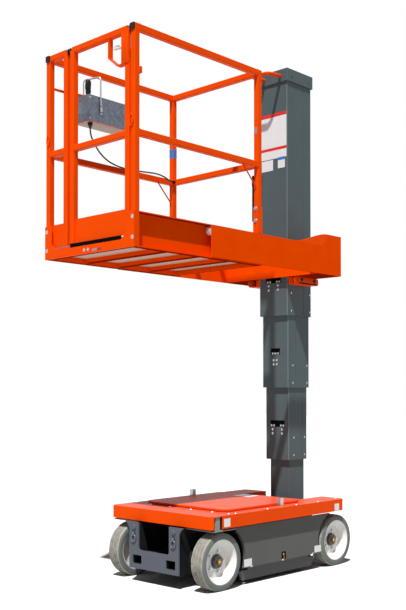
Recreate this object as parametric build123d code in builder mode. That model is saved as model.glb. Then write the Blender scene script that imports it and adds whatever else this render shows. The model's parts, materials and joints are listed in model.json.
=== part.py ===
from build123d import *
import os
from math import pi, radians, tan

# Vertical mast lift: a wheeled base, a four-stage mast at one end and a guarded work
# platform that slides along a carriage on the top stage.
# Millimetres. Z up, ground at Z = 0, Y = 0 is the symmetry plane, +X points to the mast end.
# Distances along X are counted from the middle of the wheelbase, and at() moves them into
# the part's frame, whose origin is below the middle of the overall length.

# Fits and gaps
seat_gap = 0.3
running_gap = 0.05
open_pivot_gap = 0.5

# Wheels
wheelbase = 1057
wheel_radius = 158
wheel_width = 90
wheel_y = 335
tyre_depth = 35
tyre_shoulder = 12
groove_count = 6
groove_width = 3.5
groove_depth = 2.5
rim_wall = 6
rim_lip = 3
disc_inset = 9
disc_thickness = 8
disc_radius = 88
hub_radius = 34
hub_reach = 16
hub_cap = 5
stub_radius = 20

# End plate, fork pockets and tie-down rings
plate_front = -682
plate_thickness = 8
plate_half_width = 200
plate_bottom = 80
plate_top = 341
plate_flare = 35
plate_flare_height = 62
notch_half_width = 123
notch_bottom = 186
notch_corner = 16
pocket_inner_y = 98.5
pocket_width = 74
pocket_bottom = 106
pocket_height = 50
pocket_wall = 5
ring_y = 160
ring_z = 246
ring_radius = 17
ring_wire = 4.5
ring_tab_width = 26
ring_tab_height = 30

# Base frame
frame_sheet = 6
rail_y = 182
tub_half_length = 325
tub_half_width = 345
frame_top = 335
top_rail_depth = 20
gusset_length = 74
spine_half_width = 118
spine_bottom = 120
spine_rear = 618

# Drive motors
motor_radius = 52
motor_reach = 76
motor_flange_radius = 62
motor_flange = 12

# Steering axle and knuckles
kingpin_y = 275
kingpin_radius = 14
boss_radius = 26
boss_height = 70
beam_width = 57
beam_height = 50
ear_thickness = 12
ear_gap = 0.5
yoke_thickness = 8
yoke_half_width = 30
boss_to_yoke = 3
arm_length = 60
arm_root = 1
arm_thickness = 10
arm_eye_radius = 10
rod_pin_radius = 6
rod_width = 14
rod_thickness = 10

# Deck, covers and lid
deck_front = -640
deck_rear = 578.6
deck_half_width = 407
deck_top = 414.4
deck_sheet = 5
skirt_height = 71
deck_corner = 30
deck_seam = -450
seam_gap = 3
front_skirt_end = -620
side_skirt_start = -555
mast_bay_front = 356
mast_bay_half_width = 230
lid_rear = 250
lid_half_width = 330
lid_corner = 60
lid_rise = 15
lid_plate = 10
lid_inset = 12
post_x = 0
post_y = 356
post_size = 28
post_top = 462
bracket_width = 34
bracket_shelf_end = -445

# Side doors and pothole guards
door_face = 375
door_sheet = 4
door_depth = 20
door_top_edge = 20
door_bottom = 100
door_top = 333
door_arch_front = 200
door_arch_rear = 185
hinge_y = 362
hinge_z = 330
hinge_pin_radius = 4
hinge_ear_radius = 7
hinge_barrel_radius = 10
hinge_barrel_length = 40
hinge_x = 250
guard_front = -360
guard_rear = 340
guard_bottom = 25
guard_height = 55
guard_tongue_height = 60
guard_tongue_half_length = 280
guard_end_slope = 30
guard_thickness = 8
guard_gap = 7
guide_x = 200
guide_width = 40
guide_top = 190

# Masses closed in the base
battery_gap = 24
battery_width = 118
battery_height = 215
power_unit_length = 320
power_unit_height = 140

# Mast: each stage's front, rear, half width, bottom, length, seam and chain slot half width
stage_table = [
    ("mast_stage_1", 440, 595, 78, 185, 1455, 561, 0),
    ("mast_stage_2", 417, 606, 93, 646.6, 1460, 557, 58),
    ("mast_stage_3", 397, 617, 103, 1110.1, 1475, 476, 38),
    ("mast_stage_4", 378, 628, 112.5, 1570.3, 1494.7, 543, 62),
]
mast_wall = 4
mast_corner = 6
pad_height = 60
slot_height = 42
slot_rise = 210
seam_width = 3
seam_depth = 1.2
foot_thickness = 8
foot_margin = 16
cap_height = 80
cap_margin = 10
cap_edge = 4
handle_y = 66
handle_reach = 128
handle_radius = 11
handle_drop = 43

# Carriage on the top stage
carriage_front = -612
carriage_rear = 582
carriage_face = 382
carriage_bottom = 1809
carriage_height = 175
carriage_sheet = 6
hump_height = 74
hump_start = 375
hump_length = 80
cross_x = 346
roller_radius = 25
roller_width = 22
roller_pin_radius = 8
roller_inset = 18
roller_front_x = -585
roller_rear_x = -250
bracket_front = 385
bracket_rear = 602
bracket_drop = 43
bracket_sheet = 8
bracket_flange = 70
bracket_gusset = 30
bracket_corner = 14

# Platform
platform_front = -1160.5
platform_length = 990
platform_half_width = 362.65
platform_bottom = 1807.4
channel_height = 181.2
channel_sheet = 6
channel_web_y = 324
floor_rise = 58.6
floor_sheet = 5
cross_member_width = 50
cross_member_count = 4
front_sheet = 6
front_cut_half_width = 285
front_cut_slope = 22
front_cut_rise = 20
front_band = 45
front_return = 36
tube = 33
tube_corner = 4
top_rail_rise = 1065.4
mid_rail_rise = 536.4
fixed_post_y = 194.5
kick_plate = 5
kick_height = 130
brace_radius = 4
brace_run = 115
sleeve_sheet = 3
sleeve_height = 154

# Gate
gate_pivot_x = -1115
gate_pivot_y = 167
gate_left = 156
gate_right = -318
gate_floor_gap = 10
gate_hinge_radius = 7
gate_pin_radius = 4
gate_ear = 6
gate_hinge_length = 60
gate_hinge_rises = (214, 794)
latch_left = -154
latch_drop = 158
latch_slant_width = 69
latch_slant_height = 56
latch_bar = 6
latch_depth = 30

# Controls and their cable
box_front = -985
box_length = 285
box_near = 205
box_far = 325
box_rise = 722
box_height = 146
box_corner = 4
hanger_rise = 889
hanger_size = 12
hanger_sheet = 4
hanger_inset = 20
joystick_x = -940
joystick_y = 262
joystick_height = 88
joystick_collar_radius = 20
joystick_collar_height = 10
joystick_foot = (34, 28)
joystick_head = (26, 22)
joystick_corner = 8
guard_rod_radius = 4.5
guard_rod_x = -900
guard_rod_height = 112
guard_rod_lean = 30
guard_rod_bend = 18
guard_rod_foot = 45
guard_rod_inset = 10
gland_x = -952
gland_y = 230
gland_radius = 13
gland_length = 20
cable_radius = 4.5
cable_end_y = 316
grommet_length = 12
grommet_radius = 10
document_box_size = (35, 80, 265)
document_box_rise = 204
document_box_corner = 8

# Worked out from the values above
axle_z = wheel_radius
drive_x = -wheelbase / 2
steer_x = wheelbase / 2
mast_front = stage_table[-1][1]
mast_rear = stage_table[-1][2] + cap_margin
base_x = -(platform_front + steer_x + wheel_radius) / 2
platform_rear = platform_front + platform_length
platform_tube_y = platform_half_width - tube / 2
deck_bottom = deck_top - skirt_height
floor_top = platform_bottom + floor_rise
top_rail_top = floor_top + top_rail_rise
mid_rail_top = floor_top + mid_rail_rise
box_bottom = floor_top + box_rise
box_top = box_bottom + box_height
hanger_z = floor_top + hanger_rise


def at(x):
    """Moves a distance from the middle of the wheelbase into the part's frame."""
    return base_x + x


def block(x, y, z, mode=Mode.ADD):
    """A block between pairs of faces, each pair given as low and high."""
    middle = (at((x[0] + x[1]) / 2), (y[0] + y[1]) / 2, (z[0] + z[1]) / 2)
    with Locations(middle):
        Box(x[1] - x[0], y[1] - y[0], z[1] - z[0], mode=mode)


def band(side, inner, outer):
    """Low and high Y of a band on one side of the symmetry plane."""
    return tuple(sorted((side * inner, side * outer)))


def bar(start, end, size=tube, corner=tube_corner):
    """A square tube with rounded corners from one point to another."""
    first = Vector(at(start[0]), start[1], start[2])
    line = Vector(at(end[0]), end[1], end[2]) - first
    across = (1, 0, 0) if abs(line.X) < 0.5 * line.length else (0, 1, 0)
    with BuildSketch(Plane(origin=first, x_dir=across, z_dir=line)) as section:
        RectangleRounded(size, size, corner)
    extrude(section.sketch, amount=line.length)


def rod(start, end, radius):
    """A round rod from one point to another."""
    first = Vector(at(start[0]), start[1], start[2])
    line = Vector(at(end[0]), end[1], end[2]) - first
    with BuildSketch(Plane(origin=first, z_dir=line)) as section:
        Circle(radius)
    extrude(section.sketch, amount=line.length)


def disc(x, z, y, radius, mode=Mode.ADD):
    """A round disc lying across the machine, between two Y faces."""
    with BuildSketch(Plane(origin=(at(x), y[0], z), x_dir=(1, 0, 0), z_dir=(0, 1, 0))) as section:
        Circle(radius)
    extrude(section.sketch, amount=y[1] - y[0], mode=mode)


def upright(x, y, z, radius, mode=Mode.ADD):
    """A vertical cylinder between two heights."""
    with BuildSketch(Plane(origin=(at(x), y, z[0]))) as section:
        Circle(radius)
    extrude(section.sketch, amount=z[1] - z[0], mode=mode)


def side_face(y):
    """A sketch plane at one Y, with sketch X along X and sketch Y up; side * depth goes inboard."""
    return Plane.XZ.offset(-y)


def save(piece, name):
    """Labels a finished piece and writes its file."""
    piece.part.label = name
    export_step(piece.part, f"parts/{name}.step")


# Wheels: solid tyres on deep-dished rims
tyre_inner = wheel_radius - tyre_depth
rim_outer = tyre_inner - seat_gap
wheel_table = [
    ("front_left", drive_x, 1),
    ("front_right", drive_x, -1),
    ("rear_left", steer_x, 1),
    ("rear_right", steer_x, -1),
]


def wheel_plane(x, side):
    """Sketch X is the radius and sketch Y runs outboard from the wheel's middle."""
    return Plane(origin=(at(x), side * wheel_y, axle_z), x_dir=(1, 0, 0), z_dir=(0, 0, side))


def tyre_outline():
    """Half section of a tyre with shoulders and shallow grooves round the tread."""
    half = wheel_width / 2
    with BuildSketch() as section:
        with Locations(((tyre_inner + wheel_radius) / 2, 0)):
            Rectangle(tyre_depth, wheel_width)
        outer = section.vertices().group_by(Axis.X)[-1]
        chamfer(outer, length=tyre_shoulder, length2=tyre_shoulder / 2)
        pitch = (wheel_width - 2 * tyre_shoulder) / groove_count
        for index in range(groove_count):
            with Locations((wheel_radius, (index - (groove_count - 1) / 2) * pitch)):
                Rectangle(2 * groove_depth, groove_width, mode=Mode.SUBTRACT)
    return section.sketch


def rim_outline():
    """Half section of a rim: barrel, sloped dish, disc and hub with a closed outer end."""
    half = wheel_width / 2 - rim_lip
    disc_outer = -disc_inset + disc_thickness
    with BuildSketch() as section:
        with BuildLine():
            Polyline(
                (0, hub_reach),
                (hub_radius, hub_reach),
                (hub_radius, disc_outer),
                (disc_radius, disc_outer),
                (rim_outer - rim_wall, half - rim_wall),
                (rim_outer - rim_wall / 2, half),
                (rim_outer, half),
                (rim_outer, -half),
                (rim_outer - rim_wall, -half),
                (rim_outer - rim_wall, -disc_inset),
                (hub_radius, -disc_inset),
                (hub_radius, -disc_inset - hub_cap),
                (stub_radius + running_gap, -disc_inset - hub_cap),
                (stub_radius + running_gap, hub_reach - hub_cap),
                (0, hub_reach - hub_cap),
                close=True,
            )
        make_face()
    return section.sketch


stub_end = wheel_y + hub_reach - hub_cap - 1
for place, x, side in wheel_table:
    plane = wheel_plane(x, side)
    spin = Axis((at(x), 0, axle_z), (0, 1, 0))
    with BuildPart() as tyre:
        with BuildSketch(plane) as tyre_section:
            add(tyre_outline())
        revolve(axis=spin)
    save(tyre, f"tyre_{place}")
    with BuildPart() as rim:
        with BuildSketch(plane) as rim_section:
            add(rim_outline())
        revolve(axis=spin)
    save(rim, f"rim_{place}")

# End plate with the notch between its uprights, fork pockets and flared shoulders
plate_rear = plate_front + plate_thickness
pocket_middle_y = pocket_inner_y + pocket_width / 2
pocket_middle_z = pocket_bottom + pocket_height / 2
with BuildPart() as end_plate:
    with BuildSketch(Plane(origin=(at(plate_front), 0, 0), x_dir=(0, 1, 0), z_dir=(1, 0, 0))) as outline:
        with BuildLine():
            shoulder = plate_top - plate_flare_height
            for side in (1, -1):
                edge = side * plate_half_width
                tip = side * (plate_half_width + plate_flare)
                Line((0, plate_bottom), (edge, plate_bottom))
                Line((edge, plate_bottom), (edge, shoulder))
                ThreePointArc(
                    (edge, shoulder),
                    (edge + side * plate_flare * 0.25, shoulder + plate_flare_height * 0.62),
                    (tip, plate_top),
                )
                Line((tip, plate_top), (0, plate_top))
        make_face()
        with Locations((0, (notch_bottom + plate_top + notch_corner) / 2)):
            RectangleRounded(
                2 * notch_half_width,
                plate_top + notch_corner - notch_bottom,
                notch_corner,
                mode=Mode.SUBTRACT,
            )
        with Locations((0, plate_top)):
            Rectangle(2 * notch_half_width, 4 * notch_corner, mode=Mode.SUBTRACT)
        for side in (1, -1):
            with Locations((side * pocket_middle_y, pocket_middle_z)):
                RectangleRounded(pocket_width, pocket_height, 6, mode=Mode.SUBTRACT)
    extrude(amount=plate_thickness)
save(end_plate, "end_plate")

# Tie-down rings hang in staples on the end plate
with BuildPart() as tie_down_rings:
    for side in (1, -1):
        block(
            (plate_front - 2 * ring_wire, plate_front),
            band(side, ring_y - ring_tab_width / 2, ring_y + ring_tab_width / 2),
            (ring_z + ring_radius - ring_wire, ring_z + ring_radius - ring_wire + ring_tab_height),
        )
        ring_centre = (at(plate_front - ring_wire), side * ring_y, ring_z)
        with Locations(Plane(origin=ring_centre, z_dir=(1, 0, 0))):
            Torus(ring_radius, ring_wire - seat_gap)
save(tie_down_rings, "tie_down_rings")

# Base frame: long plates, tub for batteries, fork pocket tubes and the spine under the mast
rail_outer = rail_y + frame_sheet
pocket_y = (pocket_inner_y, pocket_inner_y + pocket_width)
pocket_z = (pocket_bottom, pocket_bottom + pocket_height)
spine_top = stage_table[0][4]
beam_z = (axle_z - beam_height / 2, axle_z + beam_height / 2)
beam_x = (steer_x - beam_width / 2, steer_x + beam_width / 2)
guard_inner_y = door_face - door_depth - guard_gap - guard_thickness
with BuildPart() as chassis_frame:
    block(
        (plate_rear, tub_half_length),
        (-rail_outer, rail_outer),
        (plate_bottom, plate_bottom + frame_sheet),
    )
    for side in (1, -1):
        block((plate_rear, tub_half_length), band(side, rail_y, rail_outer), (plate_bottom, frame_top))
        block(
            (-tub_half_length, tub_half_length),
            band(side, rail_y, tub_half_width - 2 * frame_sheet),
            (plate_bottom, plate_bottom + frame_sheet),
        )
        for end in (-tub_half_length, tub_half_length - frame_sheet):
            block(
                (end, end + frame_sheet),
                band(side, rail_y, guard_inner_y - guard_gap),
                (plate_bottom, frame_top),
            )
        block(
            (-tub_half_length, tub_half_length),
            band(side, tub_half_width - top_rail_depth, tub_half_width),
            (frame_top - top_rail_depth, frame_top),
        )
        block(
            (plate_rear, tub_half_length),
            band(side, pocket_y[0] - pocket_wall, pocket_y[1] + pocket_wall),
            (pocket_z[0] - pocket_wall, pocket_z[1] + pocket_wall),
        )
        for guide in (-guide_x, guide_x):
            block(
                (guide - guide_width / 2, guide + guide_width / 2),
                band(side, tub_half_width - 3 * frame_sheet, guard_inner_y - seat_gap),
                (plate_bottom, guide_top),
            )
        with BuildSketch(side_face(side * notch_half_width)) as gusset:
            with BuildLine():
                Polyline(
                    (at(plate_rear), pocket_z[1]),
                    (at(plate_rear + gusset_length), pocket_z[1]),
                    (at(plate_rear + gusset_length / 4), frame_top),
                    (at(plate_rear), frame_top),
                    close=True,
                )
            make_face()
        extrude(amount=-side * frame_sheet)
    block(
        (tub_half_length - frame_sheet, tub_half_length),
        (-rail_outer, rail_outer),
        (plate_bottom, frame_top),
    )
    for side in (1, -1):
        block((plate_rear, tub_half_length), band(side, *pocket_y), pocket_z, mode=Mode.SUBTRACT)
        block(
            (tub_half_length - frame_sheet, spine_rear),
            band(side, spine_half_width - frame_sheet, spine_half_width),
            (spine_bottom, spine_top),
        )
    block(
        (tub_half_length - frame_sheet, spine_rear),
        (-spine_half_width, spine_half_width),
        (spine_bottom, spine_bottom + frame_sheet),
    )
    block(beam_x, (-spine_half_width, spine_half_width), beam_z, mode=Mode.SUBTRACT)
    for side in (1, -1):
        for middle in (-hinge_x, hinge_x):
            for low, high in ((-1, 0), (0, 1)):
                ear_start = middle + (hinge_barrel_length / 2 + seat_gap) * (low + high)
                ear = sorted((ear_start, ear_start + frame_sheet * (low + high)))
                block(
                    ear,
                    band(side, tub_half_width - 1, hinge_y),
                    (hinge_z - hinge_ear_radius, hinge_z + hinge_ear_radius - 2),
                )
                eye_centre = (at(ear[0]), side * hinge_y, hinge_z)
                with BuildSketch(Plane(origin=eye_centre, z_dir=(1, 0, 0))) as eye:
                    Circle(hinge_ear_radius)
                extrude(amount=frame_sheet)
            rod(
                (middle - hinge_barrel_length / 2 - 1, side * hinge_y, hinge_z),
                (middle + hinge_barrel_length / 2 + 1, side * hinge_y, hinge_z),
                hinge_pin_radius,
            )
save(chassis_frame, "chassis_frame")

# Drive motors on the long plates, with the stub shafts of the driven wheels
with BuildPart() as drive_motors:
    for side in (1, -1):
        motor_end = rail_outer + motor_reach
        disc(drive_x, axle_z, band(side, rail_outer, rail_outer + motor_flange), motor_flange_radius)
        disc(drive_x, axle_z, band(side, rail_outer, motor_end), motor_radius)
        disc(drive_x, axle_z, band(side, motor_end, stub_end), stub_radius)
save(drive_motors, "drive_motors")

# Steering axle: a beam through the spine with a kingpin boss at each end
boss_z = (axle_z - boss_height / 2, axle_z + boss_height / 2)
with BuildPart() as steer_axle:
    block(beam_x, (-kingpin_y, kingpin_y), beam_z)
    for side in (1, -1):
        upright(steer_x, side * kingpin_y, boss_z, boss_radius)
    for side in (1, -1):
        block(
            (steer_x - boss_radius - 5, steer_x + boss_radius + 5),
            band(side, kingpin_y, kingpin_y + 2 * boss_radius),
            beam_z,
            mode=Mode.SUBTRACT,
        )
        upright(steer_x, side * kingpin_y, boss_z, boss_radius)
        upright(steer_x, side * kingpin_y, boss_z, kingpin_radius + running_gap, mode=Mode.SUBTRACT)
save(steer_axle, "steer_axle")

# Knuckles: a yoke round the boss, the kingpin, the stub shaft and the steering arm
yoke_inner = kingpin_y + boss_radius + boss_to_yoke
ear_high = (boss_z[1] + ear_gap, boss_z[1] + ear_gap + ear_thickness)
ear_low = (boss_z[0] - ear_gap - ear_thickness, boss_z[0] - ear_gap)
arm_z = (ear_low[0] - arm_thickness, ear_low[0])
arm_eye_x = steer_x - arm_length
arm_eye_y = kingpin_y
knuckles = {}
for name, side, fit in (("knuckle_left", 1, running_gap), ("knuckle_right", -1, open_pivot_gap)):
    with BuildPart() as knuckle:
        for ear in (ear_high, ear_low):
            upright(steer_x, side * kingpin_y, ear, boss_radius)
            block(
                (steer_x - boss_radius, steer_x + boss_radius),
                band(side, kingpin_y, yoke_inner + 1),
                ear,
            )
        block(
            (steer_x - yoke_half_width, steer_x + yoke_half_width),
            band(side, yoke_inner, yoke_inner + yoke_thickness),
            (ear_low[0], ear_high[1]),
        )
        upright(steer_x, side * kingpin_y, (ear_low[0], ear_high[1]), kingpin_radius)
        disc(steer_x, axle_z, band(side, yoke_inner + 1, stub_end), stub_radius)
        with BuildSketch(Plane.XY.offset(arm_z[0])) as arm:
            with Locations((at(steer_x), side * kingpin_y), (at(arm_eye_x), side * arm_eye_y)):
                Circle(arm_eye_radius)
            make_hull()
            with Locations((at(arm_eye_x), side * arm_eye_y)):
                Circle(rod_pin_radius + fit, mode=Mode.SUBTRACT)
        extrude(amount=arm_thickness + arm_root)
    save(knuckle, name)

# Tie rod under the spine, with a pin up through each arm
rod_top = arm_z[0] - seat_gap
with BuildPart() as tie_rod:
    with BuildSketch(Plane.XY.offset(rod_top - rod_thickness)) as rod_outline:
        with Locations((at(arm_eye_x), 0)):
            SlotCenterToCenter(2 * arm_eye_y, rod_width, rotation=90)
        for side in (1, -1):
            with Locations((at(arm_eye_x), side * arm_eye_y)):
                Circle(rod_width / 2 + 1)
    extrude(amount=rod_thickness)
    for side in (1, -1):
        upright(arm_eye_x, side * arm_eye_y, (rod_top - rod_thickness, arm_z[1] - 1), rod_pin_radius)
save(tie_rod, "tie_rod")


def deck_outline(front, rear):
    """Plan of the deck between two X places, with its four corners rounded as a whole."""
    with BuildSketch() as plan:
        with Locations((at((deck_front + deck_rear) / 2), 0)):
            RectangleRounded(deck_rear - deck_front, 2 * deck_half_width, deck_corner)
        with Locations((at((front + rear) / 2), 0)):
            Rectangle(rear - front, 3 * deck_half_width, mode=Mode.INTERSECT)
    return plan.sketch


def skirt_outline(front, rear):
    """Plan of the skirt's sheet between two X places."""
    with BuildSketch() as plan:
        with Locations((at((deck_front + deck_rear) / 2), 0)):
            RectangleRounded(deck_rear - deck_front, 2 * deck_half_width, deck_corner)
            RectangleRounded(
                deck_rear - deck_front - 2 * deck_sheet,
                2 * (deck_half_width - deck_sheet),
                deck_corner - deck_sheet,
                mode=Mode.SUBTRACT,
            )
        with Locations((at((front + rear) / 2), 0)):
            Rectangle(rear - front, 3 * deck_half_width, mode=Mode.INTERSECT)
    return plan.sketch


# Front cover: the deck's end panel with its skirt round the front corners
sheet_z = deck_top - deck_sheet
with BuildPart() as front_cover:
    extrude(deck_outline(deck_front, deck_seam).moved(Location((0, 0, sheet_z))), amount=deck_sheet)
    extrude(
        skirt_outline(deck_front, front_skirt_end).moved(Location((0, 0, deck_bottom))),
        amount=skirt_height,
    )
save(front_cover, "front_cover")

# Deck cover: the main panel with its side skirts and the bay that the mast stands in
with BuildPart() as deck_cover:
    extrude(
        deck_outline(deck_seam + seam_gap, deck_rear).moved(Location((0, 0, sheet_z))),
        amount=deck_sheet,
    )
    extrude(
        skirt_outline(deck_seam + seam_gap, deck_rear).moved(Location((0, 0, deck_bottom))),
        amount=skirt_height,
    )
    extrude(
        skirt_outline(side_skirt_start, deck_seam + seam_gap).moved(Location((0, 0, deck_bottom))),
        amount=skirt_height - deck_sheet - seat_gap,
    )
    block(
        (mast_bay_front, deck_rear + deck_sheet),
        (-mast_bay_half_width, mast_bay_half_width),
        (deck_bottom - 1, deck_top + 1),
        mode=Mode.SUBTRACT,
    )
    block(
        (mast_bay_front - deck_sheet, mast_bay_front),
        (-mast_bay_half_width - deck_sheet, mast_bay_half_width + deck_sheet),
        (deck_bottom, deck_top),
    )
    for side in (1, -1):
        block(
            (mast_bay_front - deck_sheet, deck_rear - deck_sheet),
            band(side, mast_bay_half_width, mast_bay_half_width + deck_sheet),
            (deck_bottom, deck_top),
        )
save(deck_cover, "deck_cover")

# Raised lid on a set-back curb
lid_front = deck_seam + seam_gap
with BuildPart() as deck_lid:
    for inset, low, high in (
        (lid_inset, deck_top, deck_top + lid_rise - lid_plate),
        (0, deck_top + lid_rise - lid_plate, deck_top + lid_rise),
    ):
        with BuildSketch(Plane.XY.offset(low)) as plan:
            with Locations((at((lid_front + lid_rear) / 2), 0)):
                RectangleRounded(
                    lid_rear - lid_front - 2 * inset,
                    2 * (lid_half_width - inset),
                    lid_corner - inset,
                )
        extrude(amount=high - low)
save(deck_lid, "deck_lid")

# Rest posts for the lowered platform
with BuildPart() as rest_posts:
    for side in (1, -1):
        block(
            (post_x - post_size / 2, post_x + post_size / 2),
            band(side, post_y - post_size / 2, post_y + post_size / 2),
            (deck_top, post_top),
        )
save(rest_posts, "rest_posts")

# Cover brackets: shelves above the front wheels with an upright in each gap of the skirt
with BuildPart() as cover_brackets:
    for side in (1, -1):
        block(
            (front_skirt_end, bracket_shelf_end),
            band(side, rail_outer, deck_half_width - deck_sheet - seat_gap),
            (frame_top - frame_sheet, frame_top),
        )
        middle = (front_skirt_end + side_skirt_start) / 2
        block(
            (middle - bracket_width / 2, middle + bracket_width / 2),
            band(side, deck_half_width - 3 * deck_sheet, deck_half_width - deck_sheet - seat_gap),
            (frame_top - frame_sheet, sheet_z),
        )
save(cover_brackets, "cover_brackets")

# Batteries and the power unit, closed in behind the doors and the covers
battery_length = tub_half_length - frame_sheet - 1.5 * battery_gap
battery_pitch = battery_length + battery_gap
with BuildPart() as battery_pack:
    for side in (1, -1):
        for end in (-1, 1):
            block(
                (
                    end * battery_pitch / 2 - battery_length / 2,
                    end * battery_pitch / 2 + battery_length / 2,
                ),
                band(side, rail_outer + seat_gap, rail_outer + seat_gap + battery_width),
                (plate_bottom + frame_sheet, plate_bottom + frame_sheet + battery_height),
            )
save(battery_pack, "battery_pack")
with BuildPart() as power_unit:
    block(
        (-power_unit_length / 2, power_unit_length / 2),
        (-rail_y + frame_sheet, rail_y - frame_sheet),
        (pocket_z[1] + pocket_wall, pocket_z[1] + pocket_wall + power_unit_height),
    )
save(power_unit, "power_unit")

# Side doors: pressed panels between the wheel arches, hung on barrels at their top edge
for name, side in (("door_left", 1), ("door_right", -1)):
    with BuildPart() as door:
        door_plane = side_face(side * door_face)
        with BuildSketch(door_plane) as skin:
            with Locations((at(0), (door_bottom + door_top) / 2)):
                Rectangle(wheelbase, door_top - door_bottom)
            with Locations((at(drive_x), axle_z)):
                Circle(door_arch_front, mode=Mode.SUBTRACT)
            with Locations((at(steer_x), axle_z)):
                Circle(door_arch_rear, mode=Mode.SUBTRACT)
        extrude(amount=side * door_sheet)
        with BuildSketch(door_plane) as edge:
            with Locations((at(0), (door_bottom + hinge_z - door_top_edge) / 2)):
                Rectangle(wheelbase, hinge_z - door_top_edge - door_bottom)
            with Locations((at(drive_x), axle_z)):
                Circle(door_arch_front, mode=Mode.SUBTRACT)
            with Locations((at(steer_x), axle_z)):
                Circle(door_arch_rear, mode=Mode.SUBTRACT)
            offset(amount=-door_sheet, mode=Mode.SUBTRACT)
        extrude(amount=side * door_depth)
        for middle in (-hinge_x, hinge_x):
            rod(
                (middle - hinge_barrel_length / 2, side * hinge_y, hinge_z),
                (middle + hinge_barrel_length / 2, side * hinge_y, hinge_z),
                hinge_barrel_radius,
            )
        for middle in (-hinge_x, hinge_x):
            bore_start = (at(middle - hinge_barrel_length / 2 - 1), side * hinge_y, hinge_z)
            with BuildSketch(Plane(origin=bore_start, z_dir=(1, 0, 0))) as bore:
                Circle(hinge_pin_radius + running_gap)
            extrude(amount=hinge_barrel_length + 2, mode=Mode.SUBTRACT)
    save(door, name)

# Pothole guards: bars that drop below the doors, on tongues behind them
for name, side in (("pothole_guard_left", 1), ("pothole_guard_right", -1)):
    with BuildPart() as guard:
        guard_top = guard_bottom + guard_height
        with BuildSketch(side_face(side * guard_inner_y)) as outline:
            with BuildLine():
                Polyline(
                    (at(guard_front + guard_end_slope), guard_bottom),
                    (at(guard_rear - guard_end_slope), guard_bottom),
                    (at(guard_rear), guard_top),
                    (at(guard_tongue_half_length), guard_top),
                    (at(guard_tongue_half_length), (guard_top + guard_tongue_height)),
                    (at(-guard_tongue_half_length), (guard_top + guard_tongue_height)),
                    (at(-guard_tongue_half_length), guard_top),
                    (at(guard_front), guard_top),
                    close=True,
                )
            make_face()
        extrude(amount=-side * guard_thickness)
    save(guard, name)

# Mast: nested closed tubes, each with a ring of guide pads at its lower end
cap_bottom = stage_table[-1][4] + stage_table[-1][5]


def stage_section(front, rear, half_width, corner):
    """Plan of a closed mast section."""
    with BuildSketch() as plan:
        with Locations((at((front + rear) / 2), 0)):
            RectangleRounded(rear - front, 2 * half_width, corner)
    return plan.sketch


for index, (name, front, rear, half_width, bottom, length, seam, slot_half_width) in enumerate(stage_table):
    with BuildPart() as stage:
        outer = stage_section(front, rear, half_width, mast_corner)
        inner = stage_section(
            front + mast_wall, rear - mast_wall, half_width - mast_wall, mast_corner - mast_wall
        )
        extrude(outer.moved(Location((0, 0, bottom))), amount=length)
        if index == 0:
            block(
                (front - foot_margin, rear + foot_margin),
                (-spine_half_width, spine_half_width),
                (bottom, bottom + foot_thickness),
            )
            extrude(inner.moved(Location((0, 0, bottom))), amount=length, mode=Mode.SUBTRACT)
        else:
            extrude(
                inner.moved(Location((0, 0, bottom + pad_height))),
                amount=length - pad_height,
                mode=Mode.SUBTRACT,
            )
            inside = stage_table[index - 1]
            bore = stage_section(
                inside[1] - seat_gap, inside[2] + seat_gap, inside[3] + seat_gap, mast_corner
            )
            extrude(bore.moved(Location((0, 0, bottom))), amount=pad_height, mode=Mode.SUBTRACT)
            block(
                (front - 1, front + mast_wall + 1),
                (-slot_half_width, slot_half_width),
                (bottom + slot_rise, bottom + slot_rise + slot_height),
                mode=Mode.SUBTRACT,
            )
        for side in (1, -1):
            block(
                (seam, seam + seam_width),
                band(side, half_width - seam_depth, half_width + 1),
                (bottom + foot_thickness, bottom + length + 1),
                mode=Mode.SUBTRACT,
            )
    save(stage, name)

# Cap and hoop handle on the top stage
with BuildPart() as mast_cap:
    block(
        (mast_front - cap_margin, mast_rear),
        (-stage_table[-1][3] - cap_margin, stage_table[-1][3] + cap_margin),
        (cap_bottom, cap_bottom + cap_height),
    )
    fillet(mast_cap.edges().filter_by(Axis.Z), mast_corner)
    fillet(mast_cap.faces().sort_by(Axis.Z)[-1].edges(), cap_edge)
save(mast_cap, "mast_cap")
handle_root = mast_front - cap_margin
handle_z = cap_bottom + cap_height - handle_drop
with BuildPart() as mast_handle:
    with BuildLine() as hoop:
        FilletPolyline(
            (at(handle_root), -handle_y, handle_z),
            (at(handle_root - handle_reach), -handle_y, handle_z - handle_radius),
            (at(handle_root - handle_reach), handle_y, handle_z - handle_radius),
            (at(handle_root), handle_y, handle_z),
            radius=3 * handle_radius,
        )
    with BuildSketch(Plane(origin=hoop.line @ 0, z_dir=hoop.line % 0)) as round_tube:
        Circle(handle_radius)
    sweep()
    block(
        (handle_root, mast_rear),
        (-2 * handle_y, 2 * handle_y),
        (cap_bottom, cap_bottom + cap_height),
        mode=Mode.SUBTRACT,
    )
save(mast_handle, "mast_handle")

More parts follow.
